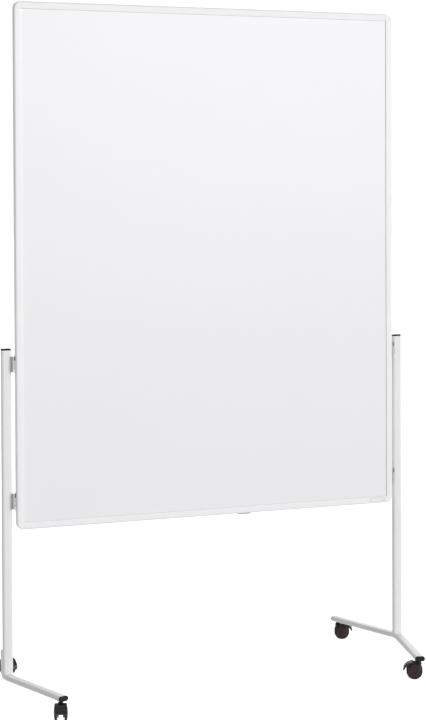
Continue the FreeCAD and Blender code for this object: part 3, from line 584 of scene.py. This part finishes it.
CLIP_CORNER = 3.0
CLIP_SECTIONS = [(0.0, 0.0), (1.8, 0.0), (2.4, 0.25), (2.8, 0.7), (3.0, 1.3)]   # drop and inset, in mm
CLIP_GROOVE_HALF = 11 * MM
CLIP_GROOVE_MARGIN = 3.5 * MM
CLIP_GROOVE_DEPTH = 1.1 * MM

low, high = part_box("bottom_clip")
mid = (low + high) / 2
half = (high - low) / 2
clip_rings = []
for drop, inset in CLIP_SECTIONS:
    corners = rectangle(half.x - inset * MM, half.y - inset * MM)
    outline = rounded_outline(corners, [(CLIP_CORNER - inset) * MM] * 4)
    clip_rings.append(ring_of(outline, Vector((mid.x, mid.y, high.z - drop * MM)), X, Y))
groove = box_mesh(
    "clip_groove",
    (mid.x - CLIP_GROOVE_HALF, low.y + CLIP_GROOVE_MARGIN, low.z - MM),
    (mid.x + CLIP_GROOVE_HALF, high.y - CLIP_GROOVE_MARGIN, low.z + CLIP_GROOVE_DEPTH),
)
clip = combined("under_clip", loft("under_clip_body", clip_rings), [("DIFFERENCE", groove)])
place(new_object("under_clip", clip), "root", materials["grey_plastic"], "bottom_clip")


# --- Stands ----------------------------------------------------------------------------------
TUBE_WIDTH = 30 * MM
TUBE_HEIGHT = 15 * MM
TUBE_RADIUS = TUBE_HEIGHT / 2
LEG_SPLAY = math.radians(15.2)
LEG_LENGTH = 294 * MM
BEND_RADIUS = 80 * MM
BEND_STEPS = 12
COPE_DEPTH = 4.5 * MM
COPE_OVERLAP = 0.1 * MM
COPE_LENGTH = 6 * MM
END_CHAMFER = 0.4 * MM
END_NARROWER = 0.6 * MM
PLUG_HEAD = 4 * MM
CAP_HEAD = 5 * MM
HEAD_EDGE = 1.6 * MM
HEAD_FLAT = 7 * MM
HEAD_EDGE_STEPS = 6
HEAD_CROWN = 0.25 * MM
BAND_HEIGHT = 0.2 * MM
BAND_PLAY = 0.3 * MM
SLEEVE_NARROWER = 3.4 * MM
SLEEVE_DEPTH = 4 * MM

# Hooks on the board and pockets on the uprights, in millimetres from the board's side.
HOOK_PLATE = 2.3
HOOK_LIP_AT = 4.7
HOOK_NECK_LOW = 2
HOOK_TONGUE_HALF = 12
HOOK_BACK = 5 * MM
POCKET_PLAY = 0.3
POCKET_WEB = 2.5
POCKET_LIP = 1.8
POCKET_FLOOR = 8
SADDLE_HALF = 6.5
SADDLE_STEPS = 8
SADDLE_OVERLAP = 1
BRACKET_SOFTNESS = 0.45 * MM

tube_outline = oval_outline(TUBE_WIDTH, TUBE_HEIGHT)
slim_outline = oval_outline(TUBE_WIDTH - END_NARROWER, TUBE_HEIGHT - END_NARROWER)
sleeve_outline = oval_outline(TUBE_WIDTH - SLEEVE_NARROWER, TUBE_HEIGHT - SLEEVE_NARROWER)
band_outline = oval_outline(TUBE_WIDTH - BAND_PLAY, TUBE_HEIGHT - BAND_PLAY)


def oval_plug(name, base, outward, across, up, head):
    """Plug head: straight band, rounded edge, faint crown, and a short sleeve inside the tube."""
    rings = [
        ring_of(sleeve_outline, base - outward * SLEEVE_DEPTH, across, up),
        ring_of(sleeve_outline, base, across, up),
        ring_of(band_outline, base, across, up),
        ring_of(tube_outline, base + outward * BAND_HEIGHT, across, up),
    ]
    for k in range(HEAD_EDGE_STEPS + 1):
        angle = math.pi / 2 * k / HEAD_EDGE_STEPS
        inset = 2 * HEAD_EDGE * (1 - math.cos(angle))
        rise = head - HEAD_CROWN - HEAD_EDGE * (1 - math.sin(angle))
        outline = oval_outline(TUBE_WIDTH - inset, TUBE_HEIGHT - inset)
        rings.append(ring_of(outline, base + outward * rise, across, up))
    narrower = 2 * HEAD_EDGE + HEAD_FLAT
    inner = oval_outline(TUBE_WIDTH - narrower, TUBE_HEIGHT - narrower)
    rings.append(ring_of(inner, base + outward * head, across, up))
    return loft(name, rings, 40)


for side_name, side in SIDES.items():
    foot_low, foot_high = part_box("foot_" + side_name)
    post_low, post_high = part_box("upright_" + side_name)
    post_mid = (post_low + post_high) / 2
    leg_z = (foot_low.z + foot_high.z) / 2
    outward = X * side
    bend_centre = Vector((post_mid.x, post_mid.y, leg_z)) - outward * BEND_RADIUS
    vertex = bend_centre + outward * BEND_RADIUS / math.cos(LEG_SPLAY)

    rings = []
    for k in range(BEND_STEPS + 1):
        angle = LEG_SPLAY * (2 * k / BEND_STEPS - 1)
        across = outward * math.cos(angle) + Y * math.sin(angle)
        rings.append(ring_of(tube_outline, bend_centre + across * BEND_RADIUS, across, Z))
    for end_name, end in ENDS.items():
        direction = -outward * math.sin(LEG_SPLAY) + Y * end * math.cos(LEG_SPLAY)
        across = outward * math.cos(LEG_SPLAY) + Y * end * math.sin(LEG_SPLAY)
        tip = vertex + direction * LEG_LENGTH
        end_rings = [
            ring_of(tube_outline, tip - direction * END_CHAMFER, across, Z),
            ring_of(slim_outline, tip, across, Z),
        ]
        if end > 0:
            rings += end_rings
        else:
            rings = end_rings[::-1] + rings
        plug_name = f"leg_plug_{end_name}_{side_name}"
        plug = oval_plug(plug_name + "_cap", tip, direction, across, Z, PLUG_HEAD)
        plug = new_object(plug_name + "_cap", plug)
        place(plug, "root", materials["black_plastic"], plug_name)
    foot_name = "foot_tube_" + side_name
    foot = new_object(foot_name, loft(foot_name, rings))
    place(foot, "root", materials["tube_white"], "foot_" + side_name)

    def foot_surface(x, y):
        """Height of the foot's upper surface under a point of the upright's outline."""
        centre_x = BEND_RADIUS - math.sqrt(BEND_RADIUS ** 2 - (y - post_mid.y) ** 2)
        off = max(abs((x - post_mid.x) * side + centre_x) - (TUBE_WIDTH / 2 - TUBE_RADIUS), 0)
        rise = math.sqrt(max(TUBE_RADIUS ** 2 - off ** 2, 0))
        return leg_z + max(rise, TUBE_RADIUS - COPE_DEPTH)

    bottom = []
    for point in tube_outline:
        x, y = post_mid.x + point.x, post_mid.y + point.y
        bottom.append(Vector((x, y, foot_surface(x, y) - COPE_OVERLAP)))
    rings = [bottom]
    for z in (leg_z + TUBE_RADIUS + COPE_LENGTH, post_high.z - END_CHAMFER):
        rings.append(ring_of(tube_outline, Vector((post_mid.x, post_mid.y, z)), X, Y))
    top = Vector((post_mid.x, post_mid.y, post_high.z))
    rings.append(ring_of(slim_outline, top, X, Y))
    post_name = "post_tube_" + side_name
    post = new_object(post_name, loft(post_name, rings))
    place(post, "root", materials["tube_white"], "upright_" + side_name)

    cap_name = "post_cap_" + side_name
    cap = new_object(cap_name, oval_plug(cap_name, top, Z, X, Y, CAP_HEAD))
    place(cap, "root", materials["black_plastic"], "upright_cap_" + side_name)

    for height_name in ("lower", "upper"):
        place_name = f"{side_name}_{height_name}"
        low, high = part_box("board_hook_" + place_name)
        pocket_low, pocket_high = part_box("upright_bracket_" + place_name)
        near = high.x if side < 0 else low.x
        tall = high.z - low.z
        centre_z = (low.z + high.z) / 2

        def at(distance, height):
            """Outline point: distance outward from the board's side, height from the middle."""
            return (near + side * distance * MM, centre_z + height * MM)

        half_tall = tall / 2 / MM
        tongue_end = abs((high.x if side > 0 else low.x) - near) / MM
        plate_outline = [
            at(0, -half_tall),
            at(HOOK_PLATE, -half_tall),
            at(HOOK_PLATE, half_tall),
            at(0, half_tall),
        ]
        hook_outline = [
            at(0, -half_tall),
            at(HOOK_PLATE, -half_tall),
            at(HOOK_PLATE, HOOK_NECK_LOW),
            at(HOOK_LIP_AT, HOOK_NECK_LOW),
            at(HOOK_LIP_AT, -HOOK_TONGUE_HALF),
            at(tongue_end, -HOOK_TONGUE_HALF),
            at(tongue_end, HOOK_TONGUE_HALF),
            at(HOOK_PLATE, HOOK_TONGUE_HALF),
            at(HOOK_PLATE, half_tall),
            at(0, half_tall),
        ]
        plate = prism(place_name, plate_outline, Y * low.y, X, Z, Y * (high.y - low.y))
        tongue = prism(place_name, hook_outline, Y * low.y, X, Z, Y * (HOOK_BACK - low.y))
        hook_name = "hook_" + place_name
        hook = new_object(hook_name, combined(hook_name, plate, [("UNION", tongue)]))
        soften(hook, BRACKET_SOFTNESS)
        place(hook, "root", hook_metal, "board_hook_" + place_name)

        lip = HOOK_PLATE + POCKET_PLAY
        web = abs(post_mid.x - near) / MM - TUBE_WIDTH / 2 / MM
        web_outline = [
            at(web - POCKET_WEB, -half_tall),
            at(web, -half_tall),
            at(web, half_tall),
            at(web - POCKET_WEB, half_tall),
        ]
        pocket_outline = [
            at(lip, -half_tall),
            at(web, -half_tall),
            at(web, half_tall),
            at(web - POCKET_WEB, half_tall),
            at(web - POCKET_WEB, -half_tall + POCKET_FLOOR),
            at(lip + POCKET_LIP, -half_tall + POCKET_FLOOR),
            at(lip + POCKET_LIP, HOOK_NECK_LOW),
            at(lip, HOOK_NECK_LOW),
        ]
        foot_x = near + side * (web - SADDLE_OVERLAP) * MM
        saddle = [(foot_x, post_mid.y - SADDLE_HALF * MM)]
        for k in range(-SADDLE_STEPS, SADDLE_STEPS + 1):
            y = SADDLE_HALF * k / SADDLE_STEPS * MM
            depth = TUBE_RADIUS - math.sqrt(TUBE_RADIUS ** 2 - y ** 2)
            saddle.append((near + side * (web * MM + depth), post_mid.y + y))
        saddle.append((foot_x, post_mid.y + SADDLE_HALF * MM))
        near_y = pocket_low.y
        back = prism(place_name, web_outline, Y * near_y, X, Z, Y * (pocket_high.y - near_y))
        body = prism(place_name, pocket_outline, Y * near_y, X, Z, Y * (HOOK_BACK - near_y))
        seat = prism(place_name, saddle, Z * low.z, X, Y, Z * tall)
        pocket_name = "pocket_" + place_name
        pocket = combined(pocket_name, back, [("UNION", body), ("UNION", seat)])
        pocket = new_object(pocket_name, pocket)
        soften(pocket, BRACKET_SOFTNESS)
        node = "upright_bracket_" + place_name
        place(pocket, "root", materials["bracket_metal"], node)


# --- Casters ---------------------------------------------------------------------------------
# Each piece is made about the wheel's centre, with the wheel axis along Y, the swivel axis at
# +X and the brake pedal at -X. The numbers are in millimetres and degrees.
CASTER_TRAIL = 13.0
COVER_CROWN = 19.8
COVER_SPHERE = 80.7
COVER_WALL = 2.4
WHEEL_SEGMENTS = 96

# The cover's relief: distance from the axle, and depth under the dome.
COVER_BUTTON = [(0.0, 0.05), (3.2, 0.1), (4.3, 0.3), (4.8, 0.75), (5.2, 0.95), (5.8, 0.85), (6.4, 0.4)]
COVER_FIELD = [(7.4, 0.15), (10.0, 0.1), (12.5, 0.1), (15.0, 0.1), (17.0, 0.12), (17.9, 0.3)]
COVER_RING = [(18.3, 0.8), (18.7, 0.85), (19.0, 0.4), (19.4, 0.08), (20.0, 0.05), (20.6, 0.25)]
COVER_SEAM = [(20.9, 0.8), (21.2, 0.95), (21.4, 0.5)]

# Distance from the axle and from the caster's middle plane.
TREAD_OUTER = [
    (21.6, 17.1), (21.9, 17.35), (22.5, 17.25), (23.1, 16.85), (23.6, 16.25), (23.9, 15.5), (24.0, 14.7),
]
TREAD_INNER = [
    (24.0, 11.6), (23.85, 10.9), (23.5, 10.35), (22.9, 10.05), (22.2, 10.0), (21.2, 10.0), (20.85, 10.3),
]
COVER_INSIDE = [20.6, 16.0, 11.0, 6.4]
HUB = [(6.0, 16.8), (6.0, 10.3), (5.7, 10.0), (3.3, 10.0), (3.05, 10.25), (3.05, 16.8), (0.0, 16.8)]
RIB_COUNT = 8
RIB_FROM = 5.7
RIB_TO = 20.75
RIB_HALF = 0.6
RIB_EDGE = 12.2
RIB_ROOT = 0.3

HOUSING_RADIUS = 22.5
HOUSING_HALF = 9.5
HOUSING_FLAT = -9.0
HOUSING_STEPS = 48
NECK = [
    (0, -6.0), (7.5, -6.0), (7.5, 18.0), (8.3, 19.2), (8.9, 20.3), (8.7, 21.6), (7.2, 23.2),
    (6.3, 24.6), (5.9, 26.0), (5.8, 27.4), (0, 27.4),
]
SLOT_HALF = 5.8
DEEP_SLOT = [(-23, -24), (7.6, 14)]
SHALLOW_SLOT = [(-23, 13), (1, 28)]
AXLE_HOLE = [(0, -12), (3.02, -12), (3.02, 12), (0, 12)]
STEM_HOLE = [(0, 8.5), (4.05, 8.5), (4.05, 30), (0, 30)]
RECESS_RADII = (18.8, 9.0)
RECESS_ANGLES = (10, 170)
RECESS_STEPS = 36
RECESS_FLOOR = 8.9
RECESS_MOUTH = 10.5

# The pedal's sections from its root to its tip: (radius, angle) of the upper and the under
# face about the axle, and half the width.
PEDAL_UPPER = [
    (26.9, 98), (26.95, 104), (27.05, 110), (27.4, 116), (28.0, 122), (28.75, 128), (29.65, 134),
    (30.65, 140), (31.6, 146), (32.45, 152), (33.2, 158), (33.75, 164), (33.95, 169), (34.0, 173),
    (33.7, 176.5),
]
PEDAL_UNDER = [
    (24.9, 98), (24.9, 104), (24.9, 110), (24.9, 116), (24.9, 122), (24.9, 128), (24.9, 134),
    (25.37, 140), (25.94, 146), (26.61, 152), (27.4, 158), (28.29, 164), (29.3, 170), (30.2, 175),
    (30.9, 178.5),
]
PEDAL_HALF = [15.8, 16.6, 16.95, 17, 17, 17, 17, 17, 17, 17, 17, 16.9, 16.5, 15.6, 14.0]
PEDAL_EDGE = 0.8
PEDAL_EDGE_STEPS = 6
PEDAL_CROWN = 0.35
PEDAL_CROWN_STEPS = 8
PEDAL_HUB = [(0, -5.3), (7.0, -5.3), (7.0, 5.3), (0, 5.3)]
PEDAL_HOLE = [(0, -8), (3.05, -8), (3.05, 8), (0, 8)]
PEDAL_ARM = [(6.9, 70), (25.6, 99), (25.9, 116), (25.6, 132), (6.9, 172)]
PEDAL_ARM_HALF = 5.3
PEDAL_NOTCH = [(0, 23), (14, 23), (14, 30), (0, 30)]
PEDAL_NOTCH_X = 6.3
RIDGES = [(30.35, 138), (31.2, 143), (31.95, 148), (32.65, 153), (33.25, 158)]
RIDGE_SUNK = 0.35
RIDGE_RADIUS = 0.75
RIDGE_LEAN = 78
RIDGE_HALF = 11
RIDGE_STEPS = 12

HOUSING_SOFTNESS = 0.5 * MM
PEDAL_SOFTNESS = 0.3 * MM


def polar(radius, degrees):
    """Point in the wheel's plane, from its distance and angle about the axle."""
    angle = math.radians(degrees)
    return Vector((radius * math.cos(angle), 0, radius * math.sin(angle))) * MM


def flat_arc(radius, first, last, steps):
    """2-D points along an arc about the axle, between two angles."""
    points = [polar(radius, first + (last - first) * k / steps) for k in range(steps + 1)]
    return [Vector((point.x, point.z)) for point in points]


def cover_height(radius):
    """How far the domed cover stands from the caster's middle plane, at a distance from the axle."""
    return COVER_CROWN - (COVER_SPHERE - math.sqrt(COVER_SPHERE ** 2 - radius ** 2))


def turned_y(name, profile, segments=WHEEL_SEGMENTS, side=1, sharp_degrees=32):
    """Solid turned about the axle, from (radius, y) points in millimetres."""
    return lathe(name, [(r * MM, side * y * MM) for r, y in profile], segments, sharp_degrees)


def turned_z(name, profile, centre, segments=48):
    """Solid turned about a vertical axis, from (radius, z) points that start and end on it."""
    rings = []
    for radius, height in profile:
        ring = []
        for k in range(segments):
            angle = 2 * math.pi * k / segments
            spoke = Vector((centre + radius * math.cos(angle), radius * math.sin(angle), height))
            ring.append(spoke * MM)
        rings.append(ring)
    return loft(name, rings)


def add_rib(bm, turn, side):
    """Closed box inside the wheel, from the hub to the rim, under the cover."""
    corners = []
    for x in (RIB_FROM, RIB_TO):
        for z in (-RIB_HALF, RIB_HALF):
            for y in (RIB_EDGE, cover_height(x) - COVER_WALL + RIB_ROOT):
                corners.append(turn @ Vector((x * MM, side * y * MM, z * MM)))
    made = [bm.verts.new(corner) for corner in corners]
    for quad in ((0, 1, 3, 2), (4, 6, 7, 5), (0, 4, 5, 1), (2, 3, 7, 6), (0, 2, 6, 4), (1, 5, 7, 3)):
        bm.faces.new([made[i] for i in quad])


def wheel_mesh(side):
    """Cupped wheel: domed cover with a button and a raised ring, rounded tread, hub, inner ribs."""
    relief = COVER_BUTTON + COVER_FIELD + COVER_RING + COVER_SEAM
    profile = [(r, cover_height(r) - sunk) for r, sunk in relief]
    profile += TREAD_OUTER + TREAD_INNER
    profile += [(r, cover_height(r) - COVER_WALL) for r in COVER_INSIDE]
    profile += HUB
    mesh = turned_y("wheel", profile, side=side, sharp_degrees=40)
    bm = bmesh.new()
    bm.from_mesh(mesh)
    for k in range(RIB_COUNT):
        add_rib(bm, Matrix.Rotation(2 * math.pi * (k + 0.5) / RIB_COUNT, 4, "Y"), side)
    bmesh.ops.recalc_face_normals(bm, faces=bm.faces)
    bm.to_mesh(mesh)
    bm.free()
    mesh.shade_smooth()
    mesh.set_sharp_from_angle(angle=math.radians(40))
    return mesh


def housing_mesh():
    """Centre body: two cheeks joined round the swivel boss, slot for the pedal, flared neck."""
    first = math.degrees(math.asin(HOUSING_FLAT / HOUSING_RADIUS))
    outline = flat_arc(HOUSING_RADIUS, first, 180 - first, HOUSING_STEPS)
    body = prism("cheeks", outline, -Y * HOUSING_HALF * MM, X, Z, Y * 2 * HOUSING_HALF * MM)
    steps = [("UNION", turned_z("boss", NECK, CASTER_TRAIL))]
    for (low_x, low_z), (high_x, high_z) in (DEEP_SLOT, SHALLOW_SLOT):
        low = Vector((low_x, -SLOT_HALF, low_z)) * MM
        high = Vector((high_x, SLOT_HALF, high_z)) * MM
        steps.append(("DIFFERENCE", box_mesh("slot", low, high)))
    steps.append(("DIFFERENCE", turned_y("axle_hole", AXLE_HOLE, 48)))
    steps.append(("DIFFERENCE", turned_z("stem_hole", STEM_HOLE, CASTER_TRAIL)))
    first, last = RECESS_ANGLES
    pocket = flat_arc(RECESS_RADII[0], first, last, RECESS_STEPS)
    pocket += flat_arc(RECESS_RADII[1], last, first, RECESS_STEPS)
    for side in (-1, 1):
        low = min(side * RECESS_FLOOR, side * RECESS_MOUTH)
        recess = prism("recess", pocket, Y * low * MM, X, Z, Y * (RECESS_MOUTH - RECESS_FLOOR) * MM)
        steps.append(("DIFFERENCE", recess))
    return combined("caster_body", body, steps)


def pedal_section(upper, lower, half_width):
    """Ring of the pedal's plate: a rounded edge on each side and a faint crown on top."""
    rise = (upper - lower).normalized()
    width = half_width * MM
    edge = PEDAL_EDGE * MM
    crown = PEDAL_CROWN * MM
    ring = []
    for side in (-1, 1):
        for j in range(PEDAL_EDGE_STEPS + 1):
            share = j / PEDAL_EDGE_STEPS if side < 0 else 1 - j / PEDAL_EDGE_STEPS
            angle = math.pi * (share - 0.5)
            base = lower + rise * edge if angle < 0 else upper - rise * edge
            across = Y * side * (width - edge + edge * math.cos(angle))
            ring.append(base + rise * edge * math.sin(angle) + across)
        if side < 0:
            for j in range(1, PEDAL_CROWN_STEPS):
                y = (width - edge) * (2 * j / PEDAL_CROWN_STEPS - 1)
                ring.append(upper - rise * crown * (y / width) ** 2 + Y * y)
    return ring


def pedal_mesh():
    """Brake pedal: curved foot plate with rounded corners and grip ridges, arm and hub."""
    rings = []
    for upper, under, half_width in zip(PEDAL_UPPER, PEDAL_UNDER, PEDAL_HALF):
        rings.append(pedal_section(polar(*upper), polar(*under), half_width))
    plate = loft("pedal_plate", rings)
    arm_points = [polar(radius, angle) for radius, angle in PEDAL_ARM]
    arm_outline = [Vector((point.x, point.z)) for point in arm_points]
    arm_depth = Y * 2 * PEDAL_ARM_HALF * MM
    arm = prism("pedal_arm", arm_outline, -Y * PEDAL_ARM_HALF * MM, X, Z, arm_depth)
    steps = [("UNION", turned_y("pedal_hub", PEDAL_HUB, 64)), ("UNION", arm)]
    bar = flat_arc(RIDGE_RADIUS, 0, 180, RIDGE_STEPS)
    for radius, angle in RIDGES:
        centre = polar(radius - RIDGE_SUNK, angle)
        tangent = polar(1, angle - RIDGE_LEAN).normalized()
        start = centre - Y * RIDGE_HALF * MM
        ridge = prism("ridge", bar, start, tangent, tangent.cross(Y), Y * 2 * RIDGE_HALF * MM)
        steps.append(("UNION", ridge))
    steps.append(("DIFFERENCE", turned_z("notch", PEDAL_NOTCH, PEDAL_NOTCH_X, 96)))
    steps.append(("DIFFERENCE", turned_y("pedal_hole", PEDAL_HOLE, 48)))
    return combined("pedal", plate, steps)


wheel_meshes = {"left": wheel_mesh(-1), "right": wheel_mesh(1)}
housing_base = housing_mesh()
pedal_base = pedal_mesh()
for end_name in ENDS:
    for side_name in SIDES:
        caster = f"caster_{end_name}_{side_name}"
        spin = joints[caster + "_wheel_left_spin"]
        centre = Vector(spin["pos_m"])
        axis = Vector(spin["axis"])
        heading = axis.cross(Z)
        rotation = Matrix((heading, axis, Z)).transposed().to_4x4()
        matrix = Matrix.Translation(centre) @ rotation
        for wheel_name, mesh in wheel_meshes.items():
            name = f"{caster}_wheel_{wheel_name}"
            wheel = new_object(name + "_turned", mesh, matrix)
            place(wheel, name, materials["wheel"], name)
        housing = new_object(caster + "_moulded_body", housing_base, matrix)
        soften(housing, HOUSING_SOFTNESS, 2, 40)
        place(housing, caster, materials["caster_plastic"], caster + "_housing")
        lifted = joints[caster + "_brake"]["range_deg"][0]
        press = Matrix.Rotation(math.radians(lifted), 4, "Y")
        pedal = new_object(caster + "_foot_pedal", pedal_base, matrix @ press)
        soften(pedal, PEDAL_SOFTNESS, 2, 50)
        node = caster + "_brake_pedal"
        place(pedal, caster + "_pedal", pedal_plastic, node)


# --- Studio ----------------------------------------------------------------------------------
FLOOR_RADIUS = 60.0
FLOOR_GLOW = 0.72
DOME_RADIUS = 55.0
DOME_GLOW = 1.05
WORLD_COLOUR = (0.985, 0.985, 1.0, 1)
WORLD_GLOW = 0.48
SOFT_BOX_PLACE = Vector((-0.6, -2.3, 2.7))
SOFT_BOX_AIM = Vector((-0.3, 0, 1.7))


def emitter(name, colour, strength):
    """Material that only shines."""
    material = bpy.data.materials.new(name)
    material.use_nodes = True
    tree = material.node_tree
    tree.nodes.remove(tree.nodes["Principled BSDF"])
    light = tree.nodes.new("ShaderNodeEmission")
    light.inputs["Color"].default_value = colour
    light.inputs["Strength"].default_value = strength
    tree.links.new(light.outputs[0], tree.nodes["Material Output"].inputs["Surface"])
    return material


disc = bmesh.new()
bmesh.ops.create_circle(disc, cap_ends=True, segments=96, radius=FLOOR_RADIUS)
floor_mesh = bpy.data.meshes.new("studio_floor")
disc.to_mesh(floor_mesh)
disc.free()
floor = new_object("studio_floor", floor_mesh)
n = Nodes("floor_paper")
tone = n.mix(n.ramp(n.noise(0.8, 3.0), 0.3, 0.7), grey(0.9), grey(0.88))
roughness = n.ramp(n.noise(30.0), 0.3, 0.7, 0.8, 0.9)
glow = {"Emission_Color": (1, 1, 1, 1), "Emission_Strength": FLOOR_GLOW}
floor_mesh.materials.append(n.finish(tone, roughness, None, **glow))
floor.visible_diffuse = False
floor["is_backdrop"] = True

ball = bmesh.new()
bmesh.ops.create_uvsphere(ball, u_segments=48, v_segments=24, radius=DOME_RADIUS)
dome_mesh = bpy.data.meshes.new("studio_dome")
ball.to_mesh(dome_mesh)
ball.free()
dome = new_object("studio_dome", dome_mesh)
dome_mesh.materials.append(emitter("dome_white", (1, 1, 1, 1), DOME_GLOW))
dome.visible_diffuse = False
dome.visible_glossy = False
dome.visible_transmission = False
dome.visible_volume_scatter = False
dome.visible_shadow = False
dome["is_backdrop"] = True

world = bpy.data.worlds.new("studio")
world.use_nodes = True
background = world.node_tree.nodes["Background"]
background.inputs["Color"].default_value = WORLD_COLOUR
background.inputs["Strength"].default_value = WORLD_GLOW
bpy.context.scene.world = world


def sun(name, azimuth, elevation, strength, spread):
    """Far soft light. Azimuth 0 shines from the front and 90 from the right."""
    light = bpy.data.lights.new(name, "SUN")
    light.energy = strength
    light.angle = math.radians(spread)
    lamp = bpy.data.objects.new(name, light)
    bpy.context.scene.collection.objects.link(lamp)
    a, e = math.radians(azimuth), math.radians(elevation)
    source = Vector((math.sin(a) * math.cos(e), -math.cos(a) * math.cos(e), math.sin(e)))
    lamp.rotation_mode = "QUATERNION"
    lamp.rotation_quaternion = source.to_track_quat("Z", "Y")


sun("key", 34, 6, 2.05, 40)
sun("back_fill", 145, 30, 0.75, 40)

soft_box = bpy.data.lights.new("soft_box", "AREA")
soft_box.shape = "DISK"
soft_box.size = 1.2
soft_box.energy = 5.0
soft_box.color = (1.0, 0.97, 0.88)
box_lamp = bpy.data.objects.new("soft_box", soft_box)
bpy.context.scene.collection.objects.link(box_lamp)
box_lamp.location = SOFT_BOX_PLACE
box_lamp.rotation_mode = "QUATERNION"
box_lamp.rotation_quaternion = (SOFT_BOX_PLACE - SOFT_BOX_AIM).to_track_quat("Z", "Y")


# --- Camera ----------------------------------------------------------------------------------
CAMERA_PLACE = (-2.0885, -5.1037, 1.4367)
CAMERA_TURN = (88.8479, 0.2352, -22.3426)
CAMERA_LENS = 93.319
CAMERA_SHIFT = -0.1807

camera_data = bpy.data.cameras.new("camera")
camera = bpy.data.objects.new("camera", camera_data)
bpy.context.scene.collection.objects.link(camera)
camera.location = CAMERA_PLACE
camera.rotation_euler = [math.radians(angle) for angle in CAMERA_TURN]
camera_data.sensor_width = 36.0
camera_data.lens = CAMERA_LENS
camera_data.shift_y = CAMERA_SHIFT
camera_data.clip_start = 0.05
camera_data.clip_end = 200.0
bpy.context.scene.camera = camera
bpy.context.scene.view_settings.view_transform = "Standard"
bpy.context.scene.view_settings.look = "None"

low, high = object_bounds()
